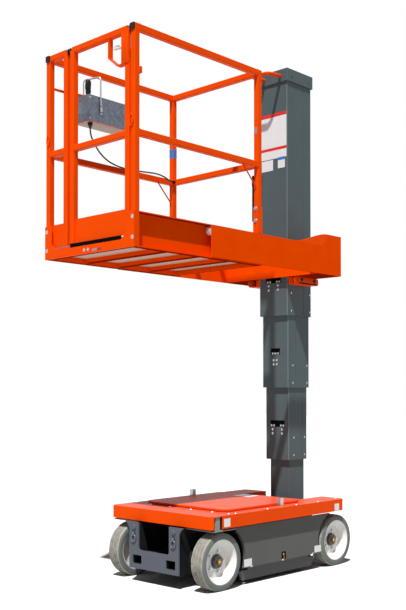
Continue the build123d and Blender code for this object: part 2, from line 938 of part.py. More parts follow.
# Carriage: side plates with a hump at the mast, closed by cross plates
web_inner = carriage_face - carriage_sheet
carriage_top = carriage_bottom + carriage_height
top_stage_half = stage_table[-1][3]
bracket_y = top_stage_half + bracket_sheet
cross_rear_x = carriage_rear - 2 * carriage_sheet
roller_seat = channel_sheet + seat_gap + roller_radius
roller_places = [
    (roller_front_x, platform_bottom + channel_height - roller_seat),
    (roller_rear_x, platform_bottom + roller_seat),
]
roller_outer = web_inner - roller_inset
roller_inner = roller_outer - roller_width
with BuildPart() as carriage_frame:
    for side in (1, -1):
        with BuildSketch(side_face(side * carriage_face)) as profile:
            with BuildLine():
                hump_middle = hump_start + hump_length / 2
                Polyline(
                    (at(hump_start), carriage_top),
                    (at(carriage_front), carriage_top),
                    (at(carriage_front), carriage_bottom),
                    (at(carriage_rear), carriage_bottom),
                    (at(carriage_rear), (carriage_top + hump_height)),
                    (at(hump_start + hump_length), (carriage_top + hump_height)),
                )
                rise = hump_length / 6
                ThreePointArc(
                    (at(hump_start), carriage_top),
                    (at(hump_middle - rise), (carriage_top + hump_height * 0.22)),
                    (at(hump_middle), (carriage_top + hump_height / 2)),
                )
                ThreePointArc(
                    (at(hump_middle), (carriage_top + hump_height / 2)),
                    (at(hump_middle + rise), (carriage_top + hump_height * 0.78)),
                    (at(hump_start + hump_length), (carriage_top + hump_height)),
                )
            make_face()
        extrude(amount=side * carriage_sheet)
        block(
            (cross_x, carriage_rear),
            band(side, bracket_y, web_inner),
            (carriage_bottom, carriage_bottom + carriage_sheet),
        )
        block(
            (cross_rear_x, cross_rear_x + carriage_sheet),
            band(side, bracket_y, web_inner),
            (carriage_bottom, carriage_top),
        )
        for roller_x, roller_z in roller_places:
            disc(roller_x, roller_z, band(side, roller_inner - 2, web_inner), roller_pin_radius)
    block((cross_x, cross_x + carriage_sheet), (-web_inner, web_inner), (carriage_bottom, carriage_top))
save(carriage_frame, "carriage_frame")

with BuildPart() as carriage_rollers:
    for side in (1, -1):
        for roller_x, roller_z in roller_places:
            faces = band(side, roller_inner, roller_outer)
            disc(roller_x, roller_z, faces, roller_radius)
            disc(roller_x, roller_z, faces, roller_pin_radius + seat_gap, mode=Mode.SUBTRACT)
save(carriage_rollers, "carriage_rollers")

# Brackets that bolt the carriage to the mast's sides, with a foot flange below the carriage
bracket_bottom = carriage_bottom - bracket_drop
with BuildPart() as mast_brackets:
    for side in (1, -1):
        block(
            (cross_x + carriage_sheet, cross_rear_x),
            band(side, top_stage_half, bracket_y),
            (carriage_bottom, carriage_top),
        )
        block(
            (bracket_front, bracket_rear),
            band(side, top_stage_half, bracket_y),
            (bracket_bottom, carriage_bottom),
        )
        flange_middle = ((bracket_front + bracket_rear) / 2, side * bracket_y)
        with BuildSketch(Plane.XY.offset(bracket_bottom)) as flange:
            with Locations((at(flange_middle[0]), flange_middle[1])):
                RectangleRounded(bracket_rear - bracket_front, 2 * bracket_flange, bracket_corner)
            with Locations((at(flange_middle[0]), 0)):
                Rectangle(bracket_rear, 2 * top_stage_half, mode=Mode.SUBTRACT)
        extrude(amount=bracket_sheet)
        block(
            (bracket_front, bracket_front + bracket_sheet),
            band(side, top_stage_half, bracket_y + bracket_gusset),
            (bracket_bottom, carriage_bottom),
        )
save(mast_brackets, "mast_brackets")

# Platform frame: side channels that open outwards, end members and cross members
channel_top = platform_bottom + channel_height
floor_bottom = floor_top - floor_sheet
with BuildPart() as platform_frame:
    for side in (1, -1):
        block(
            (platform_front + front_sheet, platform_rear),
            band(side, channel_web_y, platform_half_width),
            (platform_bottom, channel_top),
        )
        block(
            (platform_front + front_return, platform_rear + 1),
            band(side, channel_web_y + channel_sheet, platform_half_width + 1),
            (platform_bottom + channel_sheet, channel_top - channel_sheet),
            mode=Mode.SUBTRACT,
        )
    block(
        (platform_rear - channel_sheet, platform_rear),
        (-channel_web_y, channel_web_y),
        (platform_bottom, channel_top),
    )
    pitch = (platform_length - front_sheet - channel_sheet) / cross_member_count
    for index in range(cross_member_count):
        start = platform_front + front_sheet + index * pitch
        block(
            (start, start + cross_member_width),
            (-channel_web_y, channel_web_y),
            (platform_bottom + channel_sheet, floor_bottom),
        )
save(platform_frame, "platform_frame")

with BuildPart() as platform_floor:
    block(
        (platform_front + front_sheet, platform_rear - channel_sheet),
        (-channel_web_y, channel_web_y),
        (floor_bottom, floor_top),
    )
save(platform_floor, "platform_floor")

# Front plate: a band under the gate with an ear in front of each corner post
with BuildPart() as platform_front_plate:
    with BuildSketch(Plane(origin=(at(platform_front), 0, 0), x_dir=(0, 1, 0), z_dir=(1, 0, 0))) as outline:
        with BuildLine():
            Polyline(
                (-platform_half_width, platform_bottom),
                (platform_half_width, platform_bottom),
                (platform_half_width, channel_top),
                (front_cut_half_width + front_cut_slope, channel_top),
                (front_cut_half_width + front_cut_slope, floor_top + front_cut_rise),
                (front_cut_half_width - front_cut_slope, platform_bottom + front_band),
                (-front_cut_half_width + front_cut_slope, platform_bottom + front_band),
                (-front_cut_half_width - front_cut_slope, floor_top + front_cut_rise),
                (-front_cut_half_width - front_cut_slope, channel_top),
                (-platform_half_width, channel_top),
                close=True,
            )
        make_face()
    extrude(amount=front_sheet)
save(platform_front_plate, "platform_front_plate")

# Guard rails: posts on the channels with top and mid rails, and a brace rod at each rear post
post_front_x = platform_front + front_sheet + tube / 2
post_rear_x = platform_rear - tube / 2
rail_heights = (top_rail_top - tube / 2, mid_rail_top - tube / 2)
for name, side in (("guardrail_left", 1), ("guardrail_right", -1)):
    with BuildPart() as guardrail:
        y = side * platform_tube_y
        for x in (post_front_x, post_rear_x):
            bar((x, y, channel_top), (x, y, top_rail_top - tube / 2))
        block(
            (post_rear_x - tube / 2 - sleeve_sheet, platform_rear),
            band(side, platform_half_width - tube - sleeve_sheet, platform_half_width + sleeve_sheet),
            (channel_top, channel_top + sleeve_height),
        )
        bar((post_front_x, y, rail_heights[0]), (post_rear_x + tube / 2, y, rail_heights[0]))
        bar((platform_front + front_sheet, y, rail_heights[0]), (post_front_x, y, rail_heights[0]))
        bar((post_front_x, y, rail_heights[1]), (post_rear_x, y, rail_heights[1]))
        rod(
            (post_rear_x - tube / 2 + 2, y, mid_rail_top - tube - brace_run),
            (post_rear_x - tube / 2 - brace_run, y, mid_rail_top - tube + 2),
            brace_radius,
        )
    save(guardrail, name)

inner_y = platform_half_width - tube
gate_hinge_places = [floor_top + rise for rise in gate_hinge_rises]
gate_bottom = floor_top + gate_floor_gap
with BuildPart() as rear_guardrail:
    for z in rail_heights:
        bar((post_rear_x, -inner_y, z), (post_rear_x, inner_y, z))
save(rear_guardrail, "rear_guardrail")

# Narrow fixed section beside the gate, with its own post and kick plate
with BuildPart() as front_guardrail:
    bar((post_front_x, fixed_post_y, floor_top), (post_front_x, fixed_post_y, top_rail_top - tube / 2))
    for z in rail_heights:
        bar((post_front_x, fixed_post_y, z), (post_front_x, inner_y, z))
    block(
        (post_front_x - kick_plate / 2, post_front_x + kick_plate / 2),
        (fixed_post_y + tube / 2 - 1, channel_web_y),
        (floor_top, floor_top + kick_height),
    )
    for low in gate_hinge_places:
        high = low + gate_hinge_length
        lower_ear = (low - seat_gap - gate_ear, low - seat_gap)
        upper_ear = (high + seat_gap, high + seat_gap + gate_ear)
        for ear in (lower_ear, upper_ear):
            upright(gate_pivot_x, gate_pivot_y, ear, gate_hinge_radius)
            block(
                (post_front_x + tube / 2 - 1, gate_pivot_x + gate_pin_radius),
                (gate_pivot_y, fixed_post_y),
                ear,
            )
        upright(gate_pivot_x, gate_pivot_y, (lower_ear[0], upper_ear[1]), gate_pin_radius)
save(front_guardrail, "front_guardrail")

# Black caps that close the rail ends
with BuildPart() as rail_caps:
    for side in (1, -1):
        y = side * platform_tube_y
        bar((platform_front, y, rail_heights[0]), (platform_front + front_sheet, y, rail_heights[0]))
save(rail_caps, "rail_caps")

# Gate: hinged on the fixed post, with rails, kick plate and hinge barrels
with BuildPart() as gate_frame:
    for y in (gate_left - tube / 2, gate_right + tube / 2):
        bar((post_front_x, y, gate_bottom), (post_front_x, y, top_rail_top - tube / 2))
    for z in rail_heights:
        bar((post_front_x, gate_right + tube / 2, z), (post_front_x, gate_left - tube / 2, z))
    block(
        (post_front_x - kick_plate / 2, post_front_x + kick_plate / 2),
        (gate_right + tube / 2, gate_left - tube / 2),
        (gate_bottom, gate_bottom + kick_height),
    )
    for low in gate_hinge_places:
        barrel = (low, low + gate_hinge_length)
        block(
            (post_front_x + tube / 2 - 1, gate_pivot_x + gate_pin_radius),
            (gate_left - tube / 2, gate_pivot_y),
            barrel,
        )
        upright(gate_pivot_x, gate_pivot_y, barrel, gate_hinge_radius)
    for low in gate_hinge_places:
        barrel = (low - 1, low + gate_hinge_length + 1)
        upright(gate_pivot_x, gate_pivot_y, barrel, gate_pin_radius + running_gap, mode=Mode.SUBTRACT)
save(gate_frame, "gate_frame")

# Latch: a flat-bar loop round the release lever on the gate's free side
latch_top = top_rail_top - tube
latch_bottom = latch_top - latch_drop
latch_right = gate_right + tube
latch_front = post_front_x - latch_depth / 2
with BuildPart() as gate_latch:
    with BuildSketch(Plane(origin=(at(latch_front), 0, 0), x_dir=(0, 1, 0), z_dir=(1, 0, 0))) as loop:
        with BuildLine():
            Polyline(
                (latch_right, latch_top + tube),
                (latch_right, latch_bottom),
                (latch_left - latch_slant_width, latch_bottom),
                (latch_left, latch_bottom + latch_slant_height),
                (latch_left, latch_top + tube),
                close=True,
            )
        make_face()
        offset(amount=-latch_bar, mode=Mode.SUBTRACT)
        with Locations(((latch_left + latch_right) / 2, latch_top + tube)):
            Rectangle(2 * (latch_left - latch_right), 2 * tube, mode=Mode.SUBTRACT)
    extrude(amount=latch_depth)
save(gate_latch, "gate_latch")

# Control box hung from a bar on the left guard rail
box_x = (box_front, box_front + box_length)
hanger_y = box_far + hanger_sheet + hanger_size / 2
with BuildPart() as control_box:
    block(box_x, (box_near, box_far), (box_bottom, box_top))
    fillet(control_box.edges().filter_by(Axis.Z), box_corner)
save(control_box, "control_box")
with BuildPart() as control_hanger:
    block(
        box_x,
        (box_far, box_far + hanger_sheet),
        (box_bottom + hanger_inset, hanger_z + hanger_size),
    )
    bar(
        (post_front_x + tube / 2, hanger_y, hanger_z),
        (box_x[1], hanger_y, hanger_z),
        size=hanger_size,
        corner=hanger_size / 6,
    )
save(control_hanger, "control_hanger")
with BuildPart() as joystick:
    collar = (box_top, box_top + joystick_collar_height)
    upright(joystick_x, joystick_y, collar, joystick_collar_radius)
    for height, size in ((collar[1], joystick_foot), (box_top + joystick_height, joystick_head)):
        with BuildSketch(Plane.XY.offset(height)) as grip:
            with Locations((at(joystick_x), joystick_y)):
                RectangleRounded(*size, joystick_corner)
    loft()
save(joystick, "joystick")
with BuildPart() as joystick_guard:
    guard_rod_y = box_near - guard_rod_radius - seat_gap
    guard_rod_back = (at(guard_rod_x - guard_rod_lean), box_far - guard_rod_inset)
    with BuildLine() as bent:
        FilletPolyline(
            (at(guard_rod_x), guard_rod_y, box_bottom + guard_rod_foot),
            (at(guard_rod_x), guard_rod_y, box_top + guard_rod_height),
            (*guard_rod_back, box_top + guard_rod_height),
            (*guard_rod_back, box_top),
            radius=guard_rod_bend,
        )
    with BuildSketch(Plane(origin=bent.line @ 0, z_dir=bent.line % 0)) as wire:
        Circle(guard_rod_radius)
    sweep()
save(joystick_guard, "joystick_guard")
with BuildPart() as cable_gland:
    upright(gland_x, gland_y, (box_bottom - gland_length, box_bottom), gland_radius)
save(cable_gland, "cable_gland")

# Control cable from the gland, hanging in a slack run to the rear mid rail
gland_end = box_bottom - gland_length
grommet_z = mid_rail_top - tube / 2
cable_route = [
    (gland_x, gland_y, gland_end),
    (gland_x, gland_y, 2538),
    (-942, 232, 2506),
    (-912, 238, 2472),
    (-878, 244, 2440),
    (-832, 252, 2414),
    (-778, 262, 2398),
    (-722, 270, 2390),
    (-664, 278, 2388),
    (-606, 286, 2390),
    (-548, 293, 2394),
    (-490, 299, 2400),
    (-432, 304, 2406),
    (-374, 309, 2411),
    (-326, 312, 2409),
    (-288, 314, 2402),
    (-256, cable_end_y, 2391),
    (-233, cable_end_y, grommet_z),
    (platform_rear - tube - grommet_length, cable_end_y, grommet_z),
]
cable_points = [Vector(at(x), y, z) for x, y, z in cable_route]
cable_radii = []
for before, corner, after in zip(cable_points, cable_points[1:], cable_points[2:]):
    turn = radians((corner - before).get_angle(after - corner))
    shorter = min((corner - before).length, (after - corner).length)
    cable_radii.append(0.45 * shorter / tan(turn / 2))
print("cable radii", [round(radius) for radius in cable_radii])
with BuildPart() as control_cable:
    with BuildLine() as route:
        FilletPolyline(*cable_points, radius=cable_radii)
    with BuildSketch(Plane(origin=route.line @ 0, z_dir=route.line % 0)) as cable_section:
        Circle(cable_radius)
    sweep()
cable_length = route.wires()[0].length
print("cable length", round(cable_length), round(control_cable.part.volume / (pi * cable_radius**2)))
save(control_cable, "control_cable")

with BuildPart() as cable_grommet:
    grommet_end = (at(platform_rear - tube - grommet_length), cable_end_y, grommet_z)
    with BuildSketch(Plane(origin=grommet_end, z_dir=(1, 0, 0))) as grommet_section:
        Circle(grommet_radius)
    extrude(amount=grommet_length)
save(cable_grommet, "cable_grommet")

# Document box behind the near rear post
with BuildPart() as document_box:
    depth, width, height = document_box_size
    block(
        (platform_rear, platform_rear + depth),
        (-platform_half_width, -platform_half_width + width),
        (floor_top + document_box_rise, floor_top + document_box_rise + height),
    )
    fillet(document_box.faces().sort_by(Axis.X)[-1].edges(), document_box_corner)
save(document_box, "document_box")
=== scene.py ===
import bpy
import bmesh
import json
import random
from math import atan2, cos, hypot, pi, radians, sin
from mathutils import Matrix, Vector


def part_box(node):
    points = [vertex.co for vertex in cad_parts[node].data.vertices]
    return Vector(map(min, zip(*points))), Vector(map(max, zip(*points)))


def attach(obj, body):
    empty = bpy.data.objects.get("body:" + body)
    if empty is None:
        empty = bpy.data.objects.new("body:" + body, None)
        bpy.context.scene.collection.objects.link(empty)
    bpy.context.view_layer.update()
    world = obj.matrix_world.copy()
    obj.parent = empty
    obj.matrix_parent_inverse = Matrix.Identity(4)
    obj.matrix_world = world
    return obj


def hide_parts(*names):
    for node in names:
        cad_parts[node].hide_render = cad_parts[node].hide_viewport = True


# Looks of a vertical mast lift. Metres, Z up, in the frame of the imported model.
# Distances along X are counted from the middle of the wheelbase, and at() moves them into the frame.
# The front is the entry end, towards -X, and the left is towards +Y.

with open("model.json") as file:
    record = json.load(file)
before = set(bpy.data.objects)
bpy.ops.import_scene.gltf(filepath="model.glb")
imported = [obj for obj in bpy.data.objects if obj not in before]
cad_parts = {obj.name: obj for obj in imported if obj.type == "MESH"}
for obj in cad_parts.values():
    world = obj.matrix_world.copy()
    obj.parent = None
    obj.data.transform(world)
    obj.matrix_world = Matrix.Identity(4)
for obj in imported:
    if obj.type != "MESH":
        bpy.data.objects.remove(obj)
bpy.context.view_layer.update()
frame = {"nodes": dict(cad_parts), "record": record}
random.seed(7)


def middle(node):
    """The middle of a node's box."""
    low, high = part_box(node)
    return (Vector(low) + Vector(high)) / 2


# Sizes of repeated details
TUBE = 0.033
FRONT_PLATE_THICKNESS = 0.006
CARRIAGE_SIDE_HEIGHT = 0.175
LABEL_THICKNESS = 0.0004
WASHER_THICKNESS = 0.0012
TREAD_RIBS = 13
TREAD_SEGMENTS = 120
TREAD_GROOVE = 0.0022
WHEEL_BOLT_CIRCLE = 0.058
HUB_REACH = 0.017
SLOT_RISE = 0.210
SLOT_HEIGHT = 0.042

# Places of repeated details
TIE_DOWN_Y = 0.160
REAR_POST_X = -0.2035
GUARD_ROD_X = -0.900
GATE_EDGE_Y = -0.318

# Sizes that the frame gives
FRONT_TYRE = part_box("tyre_front_right")
REAR_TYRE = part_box("tyre_rear_right")
MIDDLE_X = (FRONT_TYRE[0][0] + FRONT_TYRE[1][0] + REAR_TYRE[0][0] + REAR_TYRE[1][0]) / 4
DECK_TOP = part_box("deck_cover")[1][2]
DECK_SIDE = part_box("deck_cover")[1][1]
LID_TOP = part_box("deck_lid")[1][2]
DOOR_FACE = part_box("door_left")[1][1]
DOOR_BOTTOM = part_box("door_left")[0][2]
GUARD_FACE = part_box("pothole_guard_left")[1][1]
PLATE_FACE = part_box("end_plate")[0][0]
FLOOR_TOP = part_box("platform_floor")[1][2]
PLATFORM_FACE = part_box("platform_front_plate")[0][0]
PLATFORM_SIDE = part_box("platform_frame")[1][1]
RAIL_FACE = PLATFORM_FACE + FRONT_PLATE_THICKNESS
RAIL_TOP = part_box("rear_guardrail")[1][2]
CARRIAGE_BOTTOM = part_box("carriage_frame")[0][2]
CARRIAGE_TOP = CARRIAGE_BOTTOM + CARRIAGE_SIDE_HEIGHT
BOX_LOW, BOX_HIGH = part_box("control_box")

MAST_STAGES = ("mast_stage_2", "mast_stage_3", "mast_stage_4")
WHEELS = ("front_left", "front_right", "rear_left", "rear_right")
SIDES = (("left", 1), ("right", -1))
FRONT = (-1, 0, 0)
UP = (0, 0, 1)
DOWN = (0, 0, -1)

# Camera of the photograph
CAMERA_PLACE = (-4.2848, -3.8021, 1.0857)
CAMERA_PITCH = 0.8294
CAMERA_TURN = -46.4883
CAMERA_LENS = 55.15
CAMERA_SHIFT = 0.1193

# Light: levels of sky and sun, the sun's place and width, and the share of light that the floor returns
SKY_LEVEL = 0.10
SUN_LEVEL = 4.3
SUN_PLACE = (-0.47, -0.30, 1.0)
SUN_SOFTNESS = 1.2
FLOOR_BOUNCE = 0.56


def at(x):
    """Moves a distance from the middle of the wheelbase into the frame."""
    return MIDDLE_X + x


# Shader helpers


def colour(code):
    """Linear colour of an sRGB hex value."""
    parts = [int(code[index:index + 2], 16) / 255 for index in (1, 3, 5)]
    linear = [part / 12.92 if part <= 0.04045 else ((part + 0.055) / 1.055) ** 2.4 for part in parts]
    return (*linear, 1)


def add(tree, kind, inputs=None, **settings):
    """Adds a shader node with its settings, and fills its sockets with links, hex colours or numbers."""
    made = tree.nodes.new(kind)
    for name, value in settings.items():
        setattr(made, name, value)
    for socket, value in (inputs or {}).items():
        if isinstance(value, bpy.types.NodeSocket):
            tree.links.new(value, made.inputs[socket])
        else:
            made.inputs[socket].default_value = colour(value) if isinstance(value, str) else value
    return made


def new_material(name):
    """An empty node material, its tree, and its coordinates in metres."""
    material = bpy.data.materials.new(name)
    material.use_nodes = True
    tree = material.node_tree
    tree.nodes.clear()
    return material, tree, add(tree, "ShaderNodeTexCoord").outputs


def close_material(material, tree, inputs, kind="ShaderNodeBsdfPrincipled"):
    """Gives a material its shader and output."""
    shader = add(tree, kind, inputs)
    add(tree, "ShaderNodeOutputMaterial", {"Surface": shader.outputs[0]})
    return material


def noise(tree, vector, millimetres, detail, roughness=0.5):
    """Noise from 0 to 1 with features that many millimetres wide."""
    inputs = {"Vector": vector, "Scale": 1000 / millimetres, "Detail": detail, "Roughness": roughness}
    return add(tree, "ShaderNodeTexNoise", inputs).outputs["Fac"]


def ranged(tree, value, low, high, start=0.0, end=1.0):
    """A value whose run from start to end goes from low to high."""
    inputs = {"Value": value, "From Min": start, "From Max": end, "To Min": low, "To Max": high}
    return add(tree, "ShaderNodeMapRange", inputs).outputs["Result"]


def blended(tree, factor, first, second):
    """A mix of two tones by a linked factor."""
    inputs = {"Factor": factor, "A": first, "B": second}
    return add(tree, "ShaderNodeMix", inputs, data_type="RGBA").outputs["Result"]


def bumped(tree, height, strength, distance):
    """A normal that follows a height."""
    inputs = {"Height": height, "Strength": strength, "Distance": distance}
    return add(tree, "ShaderNodeBump", inputs).outputs["Normal"]


def toned_by_facing(tree, tone, other, start, end, share):
    """The tone, going by a share to the other colour where a face's upward lean passes start to end."""
    normal = add(tree, "ShaderNodeNewGeometry").outputs["Normal"]
    lean = add(tree, "ShaderNodeSeparateXYZ", {"Vector": normal}).outputs["Z"]
    return blended(tree, ranged(tree, lean, 0.0, share, start, end), tone, other)


def paint(name, light, dark, rough, peel, patch=90, coat=0.0, worn="#8A8A86", shine=0.5,
          painted_underside_shade=None, dust_and_painted_sheen_on_top=None):
    """Sprayed paint: a slight drift of tone over patches, an uneven gloss and a fine orange peel."""
    material, tree, place = new_material(name)
    drift = noise(tree, place["Object"], patch, 3.0)
    tone = blended(tree, drift, light, dark)
    # Painted shade: faces that look down are darkened towards the given shade colour.
    if painted_underside_shade:
        tone = toned_by_facing(tree, tone, painted_underside_shade, -0.5, -0.9, 1.0)
    # Dust and a painted sheen of the sky: faces that look up go a little paler and cooler.
    if dust_and_painted_sheen_on_top:
        tone = toned_by_facing(tree, tone, dust_and_painted_sheen_on_top, 0.8, 0.95, 0.1)
    dust = noise(tree, place["Object"], 9, 6.0, 0.7)
    skin_height = noise(tree, place["Object"], 5, 2.0)
    return close_material(material, tree, {
        "Base Color": blended(tree, ranged(tree, dust, 0.0, 0.16, 0.66, 0.8), tone, worn),
        "Roughness": ranged(tree, drift, rough - 0.05, rough + 0.07),
        "Normal": bumped(tree, skin_height, peel, 0.0006),
        "Coat Weight": coat, "Coat Roughness": 0.12, "Specular IOR Level": shine})


def bare_metal(name, light, dark, rough, grain):
    """Bare plated or forged metal whose tone and gloss vary over its grain."""
    material, tree, place = new_material(name)
    cloud = noise(tree, place["Object"], grain, 4.0)
    return close_material(material, tree, {
        "Base Color": blended(tree, cloud, light, dark), "Metallic": 1.0,
        "Roughness": ranged(tree, cloud, rough - 0.1, rough + 0.12),
        "Normal": bumped(tree, cloud, 0.3, 0.0003)})


def moulded(name, light, dark, rough, grain=4, strength=0.35, shine=0.5):
    """Moulded plastic or rubber with a fine grain from its tool."""
    material, tree, place = new_material(name)
    texture = noise(tree, place["Object"], grain, 3.0)
    return close_material(material, tree, {
        "Base Color": blended(tree, texture, light, dark), "Roughness": rough,
        "Normal": bumped(tree, texture, strength, 0.0004), "Specular IOR Level": shine})


def galvanised_sheet():
    """Hot-dip galvanised sheet: spangles about 12 mm wide, each with its own tone and gloss."""
    material, tree, place = new_material("galvanised_sheet")
    spangle = add(tree, "ShaderNodeTexVoronoi", {
        "Vector": place["Object"], "Scale": 1000 / 12, "Randomness": 1.0})
    pick = add(tree, "ShaderNodeSeparateColor", {"Color": spangle.outputs["Color"]}).outputs
    return close_material(material, tree, {
        "Base Color": blended(tree, pick["Red"], "#76838F", "#5F6B78"), "Metallic": 0.75,
        "Roughness": ranged(tree, pick["Green"], 0.34, 0.56)})


def tyre_rubber():
    """Non-marking solid rubber: mid grey walls, and a tread scuffed tan by floor dust.

    The scuffs run round the tread, so the pattern is fine across the tyre and long round it.
    """
    material, tree, place = new_material("tyre_rubber")
    across = add(tree, "ShaderNodeSeparateXYZ", {"Vector": place["Normal"]}).outputs["Y"]
    outward = add(tree, "ShaderNodeMath", {0: across}, operation="ABSOLUTE").outputs["Value"]
    tread = ranged(tree, outward, 1.0, 0.0, 0.35, 0.62)
    spread = add(tree, "ShaderNodeMapping", {"Vector": place["Object"], "Scale": (20, 1000 / 2.4, 20)})
    scuff = noise(tree, spread.outputs["Vector"], 1000, 5.0, 0.65)
    dusty = blended(tree, ranged(tree, scuff, 0.0, 1.0, 0.38, 0.68), "#CBC5B8", "#6E685C")
    wall = blended(tree, noise(tree, place["Object"], 30, 4.0), "#7C837F", "#6E7572")
    return close_material(material, tree, {
        "Base Color": blended(tree, tread, wall, dusty), "Roughness": 0.82,
        "Normal": bumped(tree, scuff, 0.5, 0.0012), "Specular IOR Level": 0.3})


# Sprayed finishes: name, light and dark tone, roughness, orange peel, and what differs from the usual
PAINTS = {
    # Polyester powder coat, baked: saturated orange with a soft gloss that takes pale reflections
    "orange": ("orange_powder_coat", "#FF5200", "#F84C00", 0.4, 0.25, {"worn": "#F06A20", "shine": 0.05}),
    # The same powder on the base's covers, whose flat tops go paler and cooler from dust and a painted sheen
    # of the sky
    "cover": ("orange_cover_coat", "#FF5200", "#F84C00", 0.4, 0.25, {
        "worn": "#F06A20", "shine": 0.05, "dust_and_painted_sheen_on_top": "#B9A3BE"}),
    # The same powder on the platform's welded frame: flat, with painted shade that turns the downward faces
    # dark red
    "flat": ("orange_frame_coat", "#FF5200", "#F04600", 0.7, 0.4, {
        "worn": "#C85A28", "shine": 0.0, "painted_underside_shade": "#8E1E04"}),
    # Two-part enamel on steel sections: blue grey, satin, with faint handling marks
    "mast": ("grey_mast_enamel", "#586669", "#4F5C61", 0.42, 0.3, {"patch": 160, "shine": 0.14}),
    # The mast's enamel on a sharp corner, painted paler as a highlight where the corner catches the light
    "edge": ("edge_highlight_enamel", "#9BA8AD", "#7C898E", 0.35, 0.2, {"patch": 120, "shine": 0.4}),
    # Grey primer on the brackets below the covers, which got no top coat
    "bracket": ("grey_bracket_primer", "#9DA19B", "#898D88", 0.6, 0.3, {"patch": 60, "shine": 0.1}),
    # The mast's enamel on the end plate and axle, a little duller from dust near the ground
    "base": ("grey_base_enamel", "#636871", "#5C606A", 0.5, 0.3, {"patch": 120, "shine": 0.1}),
    # The doors' enamel: a warmer grey, from dust that the tyres throw up
    "door": ("grey_door_enamel", "#666866", "#5E605E", 0.52, 0.3, {"patch": 120, "shine": 0.1}),
    # Chassis black on the frame inside the base, dull and dusty; its near black also paints the deep shade
    # inside the base
    "frame": ("black_frame_enamel_and_shade", "#26282A", "#1B1C1E", 0.6, 0.4, {"patch": 80, "shine": 0.1}),
    # Gloss enamel on the spun rim: warm white with road dust in the dish
    "rim": ("white_rim_enamel", "#F6F5F2", "#EAE7DF", 0.3, 0.2, {
        "patch": 60, "coat": 0.2, "worn": "#A89F8E"}),
    # Dark grey enamel on the cast hub
    "hub": ("hub_enamel", "#4A4F53", "#3A3E42", 0.5, 0.5, {"patch": 20}),
    # Cast iron under black paint: rough skin that stays dull
    "casting": ("black_casting", "#1C1D1E", "#101112", 0.62, 0.9, {"patch": 14, "worn": "#4A4642"}),
}

# Bare metals: name, light and dark tone, roughness and grain in millimetres
METALS = {
    # Electroplated zinc, passivated clear: pale, slightly blue, with a soft shine
    "zinc": ("zinc_plated_steel", "#C9CCCF", "#A4A8AB", 0.34, 7),
    # Turned brass of the castle nuts and lock barrels: warm, with small bright patches
    "brass": ("brass", "#C9973A", "#8E6320", 0.32, 5),
    # Drop-forged steel of the tie-down links, zinc flake coated and dull
    "link": ("zinc_flake_steel", "#767B82", "#565B62", 0.46, 6),
}

# Plastics, rubber, vinyl and primer: name, tones, roughness, and what differs from the usual
LAMINATED = {"grain": 25, "strength": 0.1}
MOULDED = {
    # ABS of the caps and grips: near black, with a faint sheen
    "plastic": ("black_abs", "#161617", "#0B0B0C", 0.5, {"shine": 0.2}),
    # Polypropylene battery cases, duller than the caps
    "battery": ("battery_polypropylene", "#222325", "#17181A", 0.66, {}),
    # Cast nylon rollers, ivory white from age
    "nylon": ("cast_nylon", "#F3F3F0", "#E4E4DF", 0.45, {}),
    # PVC jacket of the control cable, dark brown
    "jacket": ("cable_jacket_pvc", "#33201C", "#1F1310", 0.48, {}),
    # Vinyl labels, laminated, so they shine a little more than the paint
    "label": ("label_vinyl_white", "#F4F5F5", "#E6E8EA", 0.3, LAMINATED),
    "label_red": ("label_vinyl_red", "#F01A10", "#D9150C", 0.3, LAMINATED),
    "label_blue": ("label_vinyl_blue", "#1F7FD6", "#1A6CC0", 0.3, LAMINATED),
    "label_grey": ("label_foil_grey", "#9AA3AB", "#858E96", 0.35, LAMINATED),
    # Nitrile pads, and black that paints the shade in openings and gaps, nearly without shine
    "rubber": ("black_nitrile", "#090909", "#040404", 0.8, {"shine": 0.03}),
    # Chromate primer of the sheets below the floor, tan, which also paints the floor's light bounced onto the
    # underside
    "primer": ("tan_primer_and_bounce_light", "#D2B39C", "#BF9F88", 0.6, {"grain": 40, "strength": 0.15}),
    # Tan sheet under the control box, its tan a painted reflection of the sunlit floor
    "sheet": ("tan_sheet_painted_reflection", "#C2B69B", "#AFA389", 0.5, {"grain": 30, "strength": 0.1}),
    # Red polycarbonate of the stop button
    "red": ("red_polycarbonate", "#C8120C", "#A80E0A", 0.35, {"grain": 10, "strength": 0.1}),
}


def build_materials():
    """Every finish by its key."""
    made = {"galvanised": galvanised_sheet(), "tyre": tyre_rubber()}
    for key, (*row, options) in PAINTS.items():
        made[key] = paint(*row, **options)
    for key, row in METALS.items():
        made[key] = bare_metal(*row)
    for key, (*row, options) in MOULDED.items():
        made[key] = moulded(*row, **options)
    return made


# The record's slots, each with its own finish first and then the others that go under it
FINISHES_OF_SLOT = {
    "orange_enamel": ("orange", "flat", "cover", "label_red", "red"),
    "mast_grey_enamel": ("mast", "base", "door", "frame", "edge", "hub"),
    "zinc_plated_steel": ("zinc", "brass", "link", "bracket"),
    "galvanised_sheet": ("galvanised", "primer", "sheet", "label_grey"),
    "white_rim_enamel": ("rim", "label"),
    "black_moulded_plastic": ("plastic", "rubber", "label_blue"),
    "black_casting": ("casting",),
    "grey_rubber": ("tyre",),
    "battery_case": ("battery",),
    "white_nylon": ("nylon",),
    "cable_jacket": ("jacket",),
}

# Nodes that take another finish than their slot's own
NODES_OF_FINISH = {
    "base": ("end_plate", "steer_axle", "knuckle_left", "knuckle_right", "tie_rod"),
    "door": ("door_left", "door_right", "pothole_guard_left", "pothole_guard_right"),
    "cover": ("deck_cover", "deck_lid", "front_cover"),
    "flat": ("platform_frame", "carriage_frame"),
    "frame": ("chassis_frame",),
    "bracket": ("cover_brackets",),
    "plastic": ("document_box",),
}
FINISH_OF_NODE = {node: finish for finish, nodes in NODES_OF_FINISH.items() for node in nodes}
materials = build_materials()


